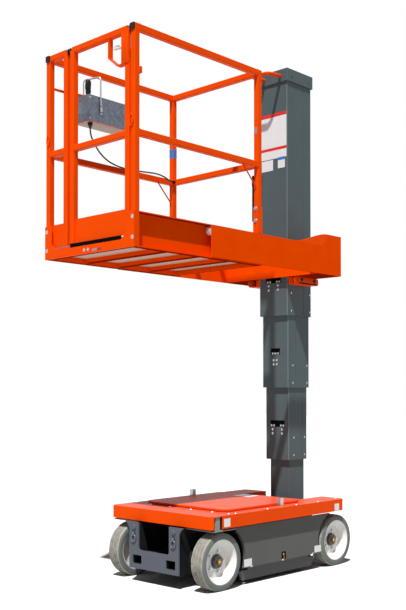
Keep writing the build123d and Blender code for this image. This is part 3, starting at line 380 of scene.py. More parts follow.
def dress_nodes():
    """Gives every carried-over node the finish of its slot, or its own."""
    slots = {row["node"]: row["material_slot"] for row in frame["record"]["subparts"]}
    for name, node in frame["nodes"].items():
        finish = FINISH_OF_NODE.get(name, FINISHES_OF_SLOT[slots[name]][0])
        node.data.materials.clear()
        node.data.materials.append(materials[finish])
        for slot in node.material_slots:
            slot.material = materials[finish]


# Mesh helpers


def facing(origin, normal):
    """Matrix whose Z runs along the normal and whose Y is near the frame's Z, or its Y on a level face."""
    z = Vector(normal).normalized()
    guide = Vector((0, 0, 1)) if abs(z.z) < 0.99 else Vector((0, 1, 0))
    x = guide.cross(z).normalized()
    turn = Matrix((x, z.cross(x), z)).transposed().to_4x4()
    return Matrix.Translation(Vector(origin)) @ turn


def polygon(sides, radius):
    """Corners of a regular outline round the middle."""
    turns = [2 * pi * index / sides for index in range(sides)]
    return [(radius * cos(turn), radius * sin(turn)) for turn in turns]


def skin(mesh, rings, closed=False, capped=False):
    """Faces between neighbouring rings; a ring of one point brings the form to a tip."""
    pairs = list(zip(rings, rings[1:]))
    if closed:
        pairs.append((rings[-1], rings[0]))
    for low, high in pairs:
        count = max(len(low), len(high))
        for index in range(count):
            after = (index + 1) % count
            corners = [low[index % len(low)], low[after % len(low)]]
            corners += [high[after % len(high)], high[index % len(high)]]
            unique = list(dict.fromkeys(corners))
            if len(unique) > 2:
                mesh.faces.new(unique)
    if capped:
        mesh.faces.new(list(reversed(rings[0])))
        mesh.faces.new(rings[-1])


def lathe(mesh, origin, normal, profile, segments=24, closed=False):
    """A turned form: (radius, height) pairs round the normal, with heights from the origin."""
    place = facing(origin, normal)
    rings = []
    for radius, height in profile:
        outline = polygon(segments, radius) if radius > 1e-7 else [(0, 0)]
        rings.append([mesh.verts.new(place @ Vector((x, y, height))) for x, y in outline])
    skin(mesh, rings, closed)


def disc(mesh, origin, normal, radius, height, segments=20):
    """A flat round form, such as a washer."""
    lathe(mesh, origin, normal, [(0, 0), (radius, 0), (radius, height), (0, height)], segments)


def prism(mesh, origin, normal, outline, depth, bevel=0.0):
    """An outline of (x, y) pairs round the origin, pushed out along the normal, with its edges eased."""
    place = facing(origin, normal)
    low = [mesh.verts.new(place @ Vector((x, y, 0))) for x, y in outline]
    high = [mesh.verts.new(place @ Vector((x, y, depth))) for x, y in outline]
    faces = [mesh.faces.new(list(reversed(low))), mesh.faces.new(high)]
    for index in range(len(outline)):
        after = (index + 1) % len(outline)
        faces.append(mesh.faces.new((low[index], low[after], high[after], high[index])))
    if bevel:
        edges = list({edge for face in faces for edge in face.edges})
        bmesh.ops.bevel(mesh, geom=edges, offset=bevel, segments=2, affect="EDGES", profile=0.5)


def rounded(width, height, radius, steps=4):
    """A rectangle round the middle with its corners rounded."""
    points = []
    corners = ((1, 1, 0), (-1, 1, 90), (-1, -1, 180), (1, -1, 270))
    for sign_x, sign_y, start in corners:
        for step in range(steps + 1):
            angle = radians(start + 90 * step / steps)
            x = sign_x * (width / 2 - radius) + radius * cos(angle)
            y = sign_y * (height / 2 - radius) + radius * sin(angle)
            points.append((x, y))
    return points


def plate(mesh, origin, normal, width, height, radius, depth, bevel=0.0):
    """A rounded rectangle on a face, pushed out along the face's normal."""
    prism(mesh, origin, normal, rounded(width, height, radius), depth, bevel)


def sweep(mesh, points, radius, sides=10, closed=False):
    """A round wire or tube along points."""
    path = [Vector(point) for point in points]
    count = len(path)
    rings = []
    guide = None
    for index, point in enumerate(path):
        before = path[index - 1] if index or closed else point
        after = path[(index + 1) % count] if index < count - 1 or closed else point
        along = (after - before).normalized()
        if guide is None:
            guide = along.orthogonal()
        guide = (guide - along * guide.dot(along)).normalized()
        other = along.cross(guide)
        rings.append([mesh.verts.new(point + guide * x + other * y) for x, y in polygon(sides, radius)])
    skin(mesh, rings, closed, capped=not closed)


def hex_bolt(mesh, origin, normal, size):
    """A hexagon head on a washer; size is the head's radius."""
    disc(mesh, origin, normal, 1.45 * size, WASHER_THICKNESS)
    seat = Vector(origin) + WASHER_THICKNESS * Vector(normal)
    prism(mesh, seat, normal, polygon(6, size), 0.62 * size, bevel=0.0004)


def round_screw(mesh, origin, normal, size):
    """A domed screw head with a driver recess."""
    shares = [(0, 0.16), (0.3, 0.25), (0.34, 0.52), (0.62, 0.45), (0.86, 0.26), (1, 0)]
    lathe(mesh, origin, normal, [(share * size, rise * size) for share, rise in shares], 16)


def low_dome(mesh, origin, normal, size):
    """A coach bolt's flat dome, two millimetres high."""
    lathe(mesh, origin, normal, [
        (0, 0.0020), (0.35 * size, 0.0019), (0.7 * size, 0.0014), (0.93 * size, 0.0006), (size, 0)], 24)


def flush_screw(mesh, origin, normal, size):
    """A countersunk head that stands a quarter of a millimetre proud, so the next stage slides past."""
    lathe(mesh, origin, normal, [
        (0, 0.00008), (0.38 * size, 0.00008), (0.46 * size, 0.00024), (0.9 * size, 0.00024), (size, 0)], 18)


def placed(name, data):
    """A new object in the scene."""
    made = bpy.data.objects.new(name, data)
    bpy.context.scene.collection.objects.link(made)
    return made


def finish_piece(name, mesh, finish, body, *replaced, smooth=35):
    """Turns a bmesh into a named piece with its finish, body and slot."""
    bmesh.ops.remove_doubles(mesh, verts=mesh.verts, dist=1e-6)
    bmesh.ops.recalc_face_normals(mesh, faces=mesh.faces)
    data = bpy.data.meshes.new(name)
    mesh.to_mesh(data)
    mesh.free()
    data.polygons.foreach_set("use_smooth", [True] * len(data.polygons))
    data.set_sharp_from_angle(angle=radians(smooth))
    data.materials.append(materials[finish])
    piece = placed(name, data)
    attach(piece, body)
    if replaced:
        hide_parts(*replaced)


def plate_piece(name, finish, body, *form, bevel=0.0):
    """A piece that is one plate: its form is what plate() takes after the mesh."""
    mesh = bmesh.new()
    plate(mesh, *form, bevel=bevel)
    finish_piece(name, mesh, finish, body)


# Stage, light and camera


def build_camera():
    """The camera stands where the photograph was taken."""
    data = bpy.data.cameras.new("camera")
    data.lens = CAMERA_LENS
    data.shift_y = CAMERA_SHIFT
    camera = placed("camera", data)
    camera.location = (at(CAMERA_PLACE[0]), CAMERA_PLACE[1], CAMERA_PLACE[2])
    camera.rotation_euler = (radians(90 + CAMERA_PITCH), 0, radians(CAMERA_TURN))
    bpy.context.scene.camera = camera


def seen_ray(tree):
    """Is 1 for rays that are seen, mirrored or let through, and 0 for those that only light."""
    rays = add(tree, "ShaderNodeLightPath").outputs
    seen = rays["Is Camera Ray"]
    for kind in ("Is Glossy Ray", "Is Transmission Ray"):
        seen = add(tree, "ShaderNodeMath", {0: seen, 1: rays[kind]}, operation="MAXIMUM").outputs["Value"]
    return seen


def build_light():
    """A white sky for what is seen or mirrored, a plainer sky for light, and a soft sun."""
    world = bpy.data.worlds.new("studio")
    world.use_nodes = True
    tree = world.node_tree
    tree.nodes.clear()
    level = ranged(tree, seen_ray(tree), SKY_LEVEL, 1.0)
    sky = add(tree, "ShaderNodeBackground", {"Color": (1, 1, 1, 1), "Strength": level})
    add(tree, "ShaderNodeOutputWorld", {"Surface": sky.outputs[0]})
    bpy.context.scene.world = world
    data = bpy.data.lights.new("sun", "SUN")
    data.energy = SUN_LEVEL
    data.angle = radians(SUN_SOFTNESS)
    placed("sun", data).rotation_euler = Vector(SUN_PLACE).to_track_quat("Z", "Y").to_euler()


def build_floor():
    """A floor that looks white, keeps the shadow and throws back less light than it shows."""
    material, tree, _ = new_material("pale_floor")
    tone = ranged(tree, seen_ray(tree), FLOOR_BOUNCE, 1.0)
    close_material(material, tree, {"Color": tone}, kind="ShaderNodeBsdfDiffuse")
    mesh = bmesh.new()
    bmesh.ops.create_grid(mesh, x_segments=2, y_segments=2, size=30)
    data = bpy.data.meshes.new("floor")
    mesh.to_mesh(data)
    mesh.free()
    data.materials.append(material)
    placed("floor", data)


# Control cable: the route of the slack run from the gland to the rear mid rail
CABLE_ROUTE = [
    (-0.952, 0.230, 2.568), (-0.952, 0.230, 2.538), (-0.942, 0.232, 2.506), (-0.912, 0.238, 2.472),
    (-0.878, 0.244, 2.440), (-0.832, 0.252, 2.414), (-0.778, 0.262, 2.398), (-0.722, 0.270, 2.390),
    (-0.664, 0.278, 2.388), (-0.606, 0.286, 2.390), (-0.548, 0.293, 2.394), (-0.490, 0.299, 2.400),
    (-0.432, 0.304, 2.406), (-0.374, 0.309, 2.411), (-0.326, 0.312, 2.409), (-0.288, 0.314, 2.402),
    (-0.256, 0.316, 2.391), (-0.233, 0.316, 2.3859), (-0.2155, 0.316, 2.3859),
]
CABLE_RADIUS = 0.0045


def build_cable():
    """The cable as one smooth curve whose control points are the route's own."""
    data = bpy.data.curves.new("slack_cable", "CURVE")
    data.dimensions = "3D"
    data.bevel_depth = CABLE_RADIUS
    data.bevel_resolution = 5
    data.resolution_u = 8
    data.use_fill_caps = True
    spline = data.splines.new("NURBS")
    spline.points.add(len(CABLE_ROUTE) - 1)
    for point, (x, y, z) in zip(spline.points, CABLE_ROUTE):
        point.co = (at(x), y, z, 1)
    spline.order_u = 3
    spline.use_endpoint_u = True
    data.materials.append(materials["jacket"])
    cable = placed("slack_cable", data)
    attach(cable, "platform")
    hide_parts("control_cable")
    x, y, z = CABLE_ROUTE[0]


# Wheels


def tyre_profile(inner, outer, half):
    """(radius, height) pairs across a tyre: walls with a bead line and a ribbed tread."""
    shoulder = 0.011
    points = [(inner, half - 0.002), (inner + 0.003, half - 0.0004), (inner + 0.008, half - 0.0012)]
    points += [(outer - 0.012, half), (outer - 0.009, half - 0.0016), (outer - 0.003, half - 0.004)]
    tread = half - shoulder
    pitch = 2 * tread / TREAD_RIBS
    for index in range(TREAD_RIBS):
        top = tread - index * pitch
        points.append((outer, top - 0.15 * pitch))
        points.append((outer, top - 0.72 * pitch))
        if index < TREAD_RIBS - 1:
            points.append((outer - TREAD_GROOVE, top - 0.80 * pitch))
            points.append((outer - TREAD_GROOVE, top - 1.06 * pitch))
    walls = [(radius, -height) for radius, height in reversed(points[:6])]
    return points + walls


def build_tyre(place):
    """A worn tyre: ribs round the tread whose surface is a little wavy and chipped."""
    low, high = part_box(f"tyre_{place}")
    centre = middle(f"tyre_{place}")
    outer = (high[0] - low[0]) / 2
    half = (high[1] - low[1]) / 2
    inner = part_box(f"rim_{place}")[1][2] - centre.z + 0.0003
    mesh = bmesh.new()
    profile = tyre_profile(inner, outer, half)
    lathe(mesh, centre, (0, 1, 0), profile, TREAD_SEGMENTS, closed=True)
    chips = [(random.uniform(-pi, pi), random.uniform(-0.03, 0.03)) for _ in range(14)]
    for vertex in mesh.verts:
        offset = vertex.co - centre
        radius = hypot(offset.x, offset.z)
        if radius < outer - 0.0015:
            continue
        angle = atan2(offset.z, offset.x)
        dent = 0.0004 * (1 + sin(17 * angle + 40 * offset.y)) + 0.0003 * random.random()
        for chip_angle, chip_y in chips:
            if abs(angle - chip_angle) < 0.045 and abs(offset.y - chip_y) < 0.005:
                dent += 0.003
        shrink = (radius - dent) / radius
        vertex.co = centre + Vector((offset.x * shrink, offset.y, offset.z * shrink))
    finish_piece(f"tread_{place}", mesh, "tyre", f"wheel_{place}", f"tyre_{place}", smooth=50)


# Teeth of the castle nut: radius and turn of each corner
NUT_TOOTH = [(0.0075, -0.34), (0.0075, 0.34), (0.0155, 0.4), (0.0155, 0), (0.0155, -0.4)]


def wheel_face(place):
    """The middle of the rim's disc, and the way out from it."""
    centre = middle(f"rim_{place}")
    outward = Vector((0, 1 if centre.y > 0 else -1, 0))
    return centre - 0.001 * outward, outward


def build_hub(place):
    """The hub's dark shell, with a rounded rim and a flange on the disc."""
    face, outward = wheel_face(place)
    shell = bmesh.new()
    lathe(shell, face, outward, [
        (0.0343, 0), (0.041, 0), (0.0405, 0.003), (0.0365, 0.0045), (0.0352, HUB_REACH - 0.002),
        (0.0335, HUB_REACH + 0.0012), (0.018, HUB_REACH + 0.0015), (0.0165, HUB_REACH + 0.0005),
        (0, HUB_REACH + 0.0005)], 40)
    finish_piece(f"hub_{place}", shell, "hub", f"wheel_{place}")


def build_wheel_bolts(place):
    """Five bolts on broad washers round the hub."""
    face, outward = wheel_face(place)
    washer = 0.0016
    bolts = bmesh.new()
    for x, z in polygon(5, WHEEL_BOLT_CIRCLE):
        spot = face + Vector((x, 0, z))
        disc(bolts, spot, outward, 0.0118, washer)
        hex_bolt(bolts, spot + washer * outward, outward, 0.0085)
    finish_piece(f"wheel_bolts_{place}", bolts, "zinc", f"wheel_{place}")


def build_castle_nut(place):
    """A brass castle nut, and in it the stub end with its split pin."""
    face, outward = wheel_face(place)
    seat = face + (HUB_REACH + 0.0005) * outward
    collar = 0.003
    nut = bmesh.new()
    lathe(nut, seat, outward, [(0.0075, 0), (0.0165, 0), (0.0165, collar), (0.0075, collar)], closed=True)
    for index in range(6):
        angle = pi * index / 3
        tooth = [(radius * cos(angle + turn), radius * sin(angle + turn)) for radius, turn in NUT_TOOTH]
        prism(nut, seat + collar * outward, outward, tooth, 0.0085, bevel=0.0004)
    finish_piece(f"castle_nut_{place}", nut, "brass", f"wheel_{place}")
    stub = bmesh.new()
    lathe(stub, seat, outward, [(0, 0), (0.0068, 0), (0.0068, 0.0095), (0.005, 0.011), (0, 0.011)], 20)
    hole = seat + 0.0085 * outward
    reach = Vector((0.017, 0, 0))
    sweep(stub, [hole - reach, hole + reach], 0.0014, 8)
    finish_piece(f"stub_end_{place}", stub, "zinc", f"wheel_{place}")


# Base

# Screws on top of the covers, one on each side: x and half y
COVER_SCREWS = [
    (-0.468, 0.372), (-0.468, 0.250), (-0.468, 0.085), (-0.425, 0.385),
    (-0.150, 0.385), (0.120, 0.385), (0.330, 0.385), (0.548, 0.360),
]


def build_base_fasteners():
    """Screws on the covers, and the round bolts above the tie-down links."""
    screws = bmesh.new()
    for x, y in COVER_SCREWS:
        for side in (1, -1):
            round_screw(screws, (at(x), side * y, DECK_TOP), UP, 0.0075)
    finish_piece("cover_screws", screws, "zinc", "chassis")
    bosses = bmesh.new()
    for side in (1, -1):
        lathe(bosses, (PLATE_FACE, side * TIE_DOWN_Y, 0.313), FRONT, [
            (0, 0), (0.0165, 0), (0.0165, 0.003), (0.013, 0.0065), (0.006, 0.0072), (0, 0.0072)], 28)
    finish_piece("end_plate_bosses", bosses, "base", "chassis")


def build_tie_down_links():
    """Forged oblong links, each held by a folded strap on the end plate."""
    low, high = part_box("tie_down_rings")
    for name, side in SIDES:
        mesh = bmesh.new()
        place = facing((middle("tie_down_rings").x, side * TIE_DOWN_Y, low[2] + 0.024), FRONT)
        loop = [place @ Vector((x, y, 0)) for x, y in rounded(0.031, 0.0395, 0.0153, steps=6)]
        sweep(mesh, loop, 0.0042, 12, closed=True)
        strap = (high[0], side * TIE_DOWN_Y, high[2] - 0.011)
        plate(mesh, strap, FRONT, 0.020, 0.022, 0.004, high[0] - low[0] - 0.0005, bevel=0.001)
        finish_piece(f"tie_down_link_{name}", mesh, "link", "chassis", "tie_down_rings")


def build_door_parts(end, side):
    """Latch hole as a black plate of painted shade, brass lock and zinc tabs of a door, and the seam of the
    guard below it.
    """
    door = f"door_{end}"
    guard = f"pothole_guard_{end}"
    face = side * DOOR_FACE
    outward = (0, side, 0)
    hole = (at(0.010), face, 0.128)
    # Painted shade: the latch hole is a flat black plate.
    plate_piece(f"{door}_latch_hole", "rubber", door, hole, outward, 0.040, 0.045, 0.006, 0.0006)
    lock = bmesh.new()
    lathe(lock, (at(0.006), face, 0.136), outward, [
        (0, 0), (0.0075, 0), (0.0075, 0.003), (0.006, 0.004), (0.0035, 0.0032), (0, 0.0032)], 24)
    plate(lock, (at(0.010), face, 0.116), outward, 0.005, 0.02, 0.002, 0.003)
    finish_piece(f"{door}_lock", lock, "brass", door)
    tabs = bmesh.new()
    for x in (-0.280, 0.0, 0.290):
        plate(tabs, (at(x), face, DOOR_BOTTOM + 0.004), outward, 0.02, 0.009, 0.003, 0.0022, bevel=0.0004)
    finish_piece(f"{door}_tabs", tabs, "zinc", door)
    seam = (at(-0.008), side * GUARD_FACE, DOOR_BOTTOM - 0.0032)
    plate_piece(f"{guard}_seam", "label_grey", guard, seam, outward, 0.640, 0.0022, 0.0008, 0.0005)


# Blank labels on the base: body, finish, x, z, width, height
BASE_LABELS = [
    ("door", "label", -0.309, 0.127, 0.066, 0.042),
    ("door", "label", 0.3415, 0.126, 0.066, 0.040),
    ("skirt", "label", -0.518, 0.3745, 0.050, 0.045),
    ("skirt", "label_red", -0.518, 0.399, 0.050, 0.004),
    ("skirt", "label", 0.497, 0.3675, 0.046, 0.045),
    ("skirt", "label_red", 0.497, 0.392, 0.046, 0.004),
]


def build_base_labels():
    """The stickers of the base, with nothing on them."""
    for index, (where, finish, x, z, width, height) in enumerate(BASE_LABELS):
        for name, side in SIDES:
            face = DOOR_FACE if where == "door" else DECK_SIDE
            body = f"door_{name}" if where == "door" else "chassis"
            plate_piece(f"base_label_{index}_{name}", finish, body, (at(x), side * face, z), (0, side, 0),
                        width, height, 0.001, LABEL_THICKNESS)
    spot = (at(0.175), 0.060, LID_TOP)
    plate_piece("lid_label", "label", "chassis", spot, UP, 0.1, 0.13, 0.004, LABEL_THICKNESS)
    spot = (at(0.192), 0.055, LID_TOP + LABEL_THICKNESS)
    plate_piece("lid_label_blue", "label_blue", "chassis", spot, UP, 0.05, 0.05, 0.004, 0.0003)


# Mast: slot half width, bolt column half pitch, depth of the bolt rows and X of the side bolts
STAGE_DETAILS = {
    "mast_stage_2": (0.058, 0.038, (0.016, 0.042), (0.470, 0.581)),
    "mast_stage_3": (0.038, 0.0125, (0.034, 0.060), (0.4475, 0.595)),
    "mast_stage_4": (0.062, 0.0373, (0.016, 0.044), (0.421, 0.6155)),
}


def build_stage_parts(name):
    """Chain anchors behind the slot, their adjusting bolts below it and the pad bolts on the sides."""
    low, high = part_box(name)
    slot_half, column, drops, side_places = STAGE_DETAILS[name]
    slot = low[2] + SLOT_RISE
    anchor = bmesh.new()
    bolts = bmesh.new()
    plate(anchor, (low[0] + 0.005, 0, slot + SLOT_HEIGHT / 2), FRONT,
          2 * slot_half + 0.01, SLOT_HEIGHT + 0.01, 0.003, 0.001)
    for y in (-column, column):
        for shift in (-0.010, 0.010):
            disc(anchor, (low[0] + 0.004, y + shift, slot + 0.016), FRONT, 0.006, 0.003, 14)
            hex_bolt(bolts, (low[0] + 0.002, y + shift, slot + 0.009), FRONT, 0.0048)
        for drop in drops:
            hex_bolt(bolts, (low[0], y, slot - drop), FRONT, 0.0056)
    for side in (1, -1):
        for x in side_places:
            for rise in (0.030, 0.142):
                flush_screw(bolts, (at(x), side * high[1], low[2] + rise), (0, side, 0), 0.0058)
    finish_piece(f"{name}_anchor_block", anchor, "rubber", name)
    finish_piece(f"{name}_bolts", bolts, "zinc", name)


def build_mast_edge_highlight(name):
    """A pale line down both front corners of a stage: a painted highlight where the corner catches the light.
    """
    low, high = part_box(name)
    width = 0.0022
    inset = 0.45 * width
    margin = 0.0005
    outline = rounded(width, width, 0.0004, steps=1)
    mesh = bmesh.new()
    for side in (1, -1):
        foot = (low[0] + inset, side * (high[1] - inset), low[2] + margin)
        prism(mesh, foot, UP, outline, high[2] - low[2] - 2 * margin)
    finish_piece(f"{name}_corner_highlight", mesh, "edge", name)


# Blank plates on the top stage's front: name, finish, y low, y high, z low, z high
MAST_PLATES = [
    ("chart_plate", "label", -0.108, 0.108, 2.582, 2.873),
    ("chart_top_band", "label_red", -0.108, 0.108, 2.852, 2.874),
    ("chart_low_band", "label_red", -0.108, 0.108, 2.636, 2.654),
    ("small_plate_far", "label", 0.002, 0.096, 2.508, 2.577),
    ("small_plate_near", "label", -0.095, -0.038, 2.515, 2.584),
    ("small_plate_near_band", "label_blue", -0.095, -0.038, 2.567, 2.585),
]


def build_mast_plates():
    """The plates and bands on the front of the top stage, left blank; bands lie on the plates."""
    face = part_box("mast_stage_4")[0][0]
    for name, finish, y_low, y_high, z_low, z_high in MAST_PLATES:
        lift = 0.0005 if "band" in name else 0.0
        spot = (face - lift, (y_low + y_high) / 2, (z_low + z_high) / 2)
        plate_piece(name, finish, "mast_stage_4", spot, FRONT, y_high - y_low, z_high - z_low, 0.0015, 0.0006)


def build_carriage_edges():
    """Upper edge of each carriage side, which rises slowly to the high end beside the mast."""
    start, top_of_rise, end = 0.095, 0.445, 0.470
    rise = 0.074
    overlap = 0.004
    steps = 20
    outline = []
    for step in range(steps + 1):
        share = step / steps
        height = rise * share * share * (3 - 2 * share)
        outline.append((at(start + (top_of_rise - start) * share), CARRIAGE_TOP + height))
    foot = CARRIAGE_TOP - overlap
    outline += [(at(end), CARRIAGE_TOP + rise), (at(end), foot), (at(start), foot)]
    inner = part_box("carriage_frame")[1][1] - 0.0057
    for name, side in SIDES:
        mesh = bmesh.new()
        seen = [(-side * x, z) for x, z in outline]
        prism(mesh, (0, side * inner, 0), (0, side, 0), seen, 0.0054)
        finish_piece(f"carriage_edge_{name}", mesh, "orange", "mast_stage_4", smooth=30)


def build_bracket_bolts():
    """Bolted faces that close the mast brackets, and screws in the cap's sides."""
    low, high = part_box("mast_brackets")
    cap_low, cap_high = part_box("mast_cap")
    height = CARRIAGE_BOTTOM - low[2] - 0.0005
    sheet = 0.006
    mesh = bmesh.new()
    for name, side in SIDES:
        outward = (0, side, 0)
        spot = (middle("mast_brackets").x, side * (high[1] - sheet), low[2] + height / 2)
        plate_piece(f"bracket_face_{name}", "orange", "mast_stage_4", spot, outward,
                    high[0] - low[0], height, 0.012, sheet, bevel=0.001)
        for x in (0.430, 0.560):
            hex_bolt(mesh, (at(x), side * high[1], low[2] + 0.026), outward, 0.0085)
        for x in (cap_low[0] + 0.05, cap_high[0] - 0.05):
            round_screw(mesh, (x, side * cap_high[1], cap_low[2] + 0.03), outward, 0.006)
    finish_piece("bracket_bolts", mesh, "casting", "mast_stage_4")


# Platform

# Bolts of the front plate: y, z and radius of the dome
FRONT_BOLTS = [
    (0.349, 1.959, 0.0105), (0.349, 1.856, 0.0105), (-0.349, 1.959, 0.0105), (-0.349, 1.856, 0.0105),
    (0.028, 1.829, 0.0085), (-0.004, 1.829, 0.0085),
]


def build_platform_bolts():
    """Bolts of the front plate and the rear post sleeves, and the two parts beside the middle bolts, the near
    one red as painted shade.
    """
    mesh = bmesh.new()
    for y, z, size in FRONT_BOLTS:
        low_dome(mesh, (PLATFORM_FACE, y, z), FRONT, size)
    for y in (0.3465, -0.3465):
        for z in (2.133, 2.064):
            hex_bolt(mesh, (at(REAR_POST_X - 0.003), y, z), FRONT, 0.0085)
    finish_piece("platform_bolts", mesh, "zinc", "platform")
    # The near part's red paints the shade on the orange inside the slot.
    for name, finish, y in (("slot_far_part", "label_grey", -0.0595), ("slot_near_painted_shade", "red", -0.0965)):
        plate_piece(name, finish, "platform", (PLATFORM_FACE, y, 1.822), FRONT, 0.037, 0.012, 0.004, 0.0005)


def build_underside():
    """Primed sheet between the floor's cross members, its tan partly painted bounce light, and a black sill
    that paints the shade below the gate.
    """
    low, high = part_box("platform_floor")
    spot = (middle("platform_floor").x, 0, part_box("platform_frame")[0][2] + 0.028)
    plate_piece("floor_underside_sheet", "primer", "platform", spot, UP,
                high[0] - low[0] - 0.02, 2 * high[1] - 0.008, 0.002, 0.001)
    # Painted shade: a black strip where the gap below the gate lies in shade.
    plate_piece("gate_gap_shade_strip", "rubber", "platform", (RAIL_FACE, -0.056, 1.864), FRONT,
                0.412, 0.0205, 0.002, 0.0008)


def build_floor_tread():
    """Raised lozenges of the tread plate, in two crossing rows."""
    low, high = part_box("platform_floor")
    outline = [(0.011, 0), (0, 0.0028), (-0.011, 0), (0, -0.0028)]
    pitch = 0.030
    margin = 0.022
    mesh = bmesh.new()
    for column in range(int((high[0] - low[0] - 0.02) / pitch)):
        for row in range(int((high[1] - low[1] - 0.02) / pitch)):
            spot = (low[0] + margin + column * pitch, low[1] + margin + row * pitch, FLOOR_TOP)
            turn = radians(45 if (column + row) % 2 else -45)
            place = Matrix.Translation(spot) @ Matrix.Rotation(turn, 4, "Z")
            base = [mesh.verts.new(place @ Vector((x, y, 0))) for x, y in outline]
            top = [mesh.verts.new(place @ Vector((0.7 * x, 0.6 * y, 0.0014))) for x, y in outline]
            mesh.faces.new(top)
            skin(mesh, [base, top])
    finish_piece("floor_tread", mesh, "galvanised", "platform", smooth=20)


# Rail ends beside the gate: name, y, direction, depth, body
RAIL_CAPS = [
    ("gate_cap_near", GATE_EDGE_Y, (0, -1, 0), 0.0075, "gate"),
    ("gate_cap_far", 0.156, (0, 1, 0), 0.0042, "gate"),
    ("fixed_rail_cap", 0.178, (0, -1, 0), 0.0042, "platform"),
]


def build_rail_caps():
    """Black caps in the ends of the gate's rail and of the fixed rail beside it."""
    for name, y, normal, depth, body in RAIL_CAPS:
        spot = (RAIL_FACE + TUBE / 2, y, RAIL_TOP - TUBE / 2)
        plate_piece(name, "plastic", body, spot, normal, TUBE, TUBE, 0.005, depth, bevel=0.001)


def build_gate_latch():
    """White release lever in the gate's loop, and the plate behind the loop."""
    low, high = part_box("gate_latch")
    x, _, z = middle("gate_latch")
    lever = bmesh.new()
    points = []
    for step in range(9):
        angle = radians(200 - 25 * step)
        points.append((x - 0.006, low[1] + 0.062 + 0.024 * cos(angle), high[2] - 0.062 + 0.014 * sin(angle)))
    sweep(lever, points, 0.0075, 12)
    sweep(lever, [points[-1], (x, low[1] - 0.004, high[2] - 0.064)], 0.0075, 12)
    finish_piece("latch_lever", lever, "nylon", "gate")
    reach = 0.055
    spot = (RAIL_FACE, GATE_EDGE_Y + reach / 2, z)
    plate_piece("latch_plate", "orange", "gate", spot, FRONT,
                reach, high[2] - low[2], 0.002, 0.0045, bevel=0.0006)


def build_latch_striker():
    """Zinc striker on the post beside the gate, with a rubber buffer below and above it."""
    x = middle("gate_latch").x
    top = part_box("gate_latch")[1][2]
    post_edge = TUBE - PLATFORM_SIDE
    inward = (0, 1, 0)
    spot = (x, post_edge, top - 0.055)
    plate_piece("latch_striker", "zinc", "platform", spot, inward,
                0.026, 0.066, 0.003, 0.0045, bevel=0.0006)
    buffers = bmesh.new()
    for rise, length in ((-0.120, 0.034), (0.004, 0.030)):
        spot = (x, post_edge, top + rise)
        plate(buffers, spot, inward, 0.022, length, 0.003, 0.005, bevel=0.001)
    finish_piece("latch_buffers", buffers, "plastic", "platform")


def build_lanyard_rings():
    """Bent wire anchor rings on the front posts, each through a small eye, with a wire below."""
    half_height = 0.029
    for name, side, y, z in (("near", -1, -0.3375, 2.444), ("far", 1, 0.343, 2.462)):
        mesh = bmesh.new()
        centre = Vector((PLATFORM_FACE + 0.003, y, z))
        ring = [centre + Vector((0.003 * c, 0.016 * c, half_height * s)) for c, s in polygon(20, 1)]
        sweep(mesh, ring, 0.0027, 10, closed=True)
        eye = centre + Vector((0, 0, half_height))
        plate(mesh, eye, FRONT, 0.012, 0.014, 0.003, 0.002, bevel=0.0005)
        wire = [centre + Vector((0.001, 0, -half_height)), centre + Vector((0.002, -0.003 * side, -0.085))]
        sweep(mesh, wire, 0.0016, 8)
        finish_piece(f"lanyard_ring_{name}", mesh, "orange", "platform")


def build_post_details():
    """Blank tags on the rear posts, and the small clamp on the near front post."""
    spot = (at(REAR_POST_X), -0.345, 2.582)
    plate_piece("post_tag_grey", "label_grey", "platform", spot, FRONT, 0.016, 0.036, 0.001, LABEL_THICKNESS)
    tag = bmesh.new()
    plate(tag, (at(-0.187), 0.3297, 2.567), (0, -1, 0), 0.030, 0.055, 0.001, LABEL_THICKNESS)
    plate(tag, (at(REAR_POST_X), 0.346, 2.567), FRONT, 0.030, 0.055, 0.001, LABEL_THICKNESS)
    finish_piece("post_tag_blue", tag, "label_blue", "platform")
    clamp = bmesh.new()
    plate(clamp, (at(-1.1205), -0.3627, 2.698), (0, -1, 0), 0.016, 0.034, 0.004, 0.008, bevel=0.001)
    plate(clamp, (at(-1.1215), -0.346, 2.698), (1, 0, 0), 0.026, 0.034, 0.004, 0.010, bevel=0.001)
    finish_piece("post_clamp", clamp, "orange", "platform")


def build_document_pouch():
    """Moulded manual holder behind the near rear post, with its lid and the lid's lip."""
    low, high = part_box("document_box")
    depth = high[0] - low[0]
    width = 0.058
    lid = 0.062
    seam = high[2] - lid
    x, y = middle("document_box").x, high[1] - width / 2
    mesh = bmesh.new()
    plate(mesh, (x, y, low[2]), UP, depth - 0.003, width - 0.003, 0.006, seam - low[2], bevel=0.001)
    plate(mesh, (x, y, seam + 0.001), UP, depth, width, 0.007, lid - 0.001, bevel=0.002)
    lip = (high[0] - 0.0022, y, seam + 0.002)
    plate(mesh, lip, (1, 0, 0), 0.020, 0.012, 0.002, 0.002, bevel=0.0005)
    finish_piece("document_pouch", mesh, "plastic", "platform", "document_box")


def build_weld_collars():
    """Thin weld beads where the top and mid rails meet the posts."""
    mid_rail = FLOOR_TOP + 0.5199
    half = TUBE / 2 + 0.0006
    mesh = bmesh.new()
    for z in (RAIL_TOP - TUBE / 2, mid_rail):
        for side in (1, -1):
            y = side * (PLATFORM_SIDE - TUBE / 2)
            for x in (RAIL_FACE + TUBE, at(REAR_POST_X)):
                turns = ((-1, -1), (1, -1), (1, 1), (-1, 1))
                corners = [(x, y + half * across, z + half * up) for across, up in turns]
                sweep(mesh, corners, 0.0016, 6, closed=True)
    finish_piece("rail_welds", mesh, "orange", "platform")


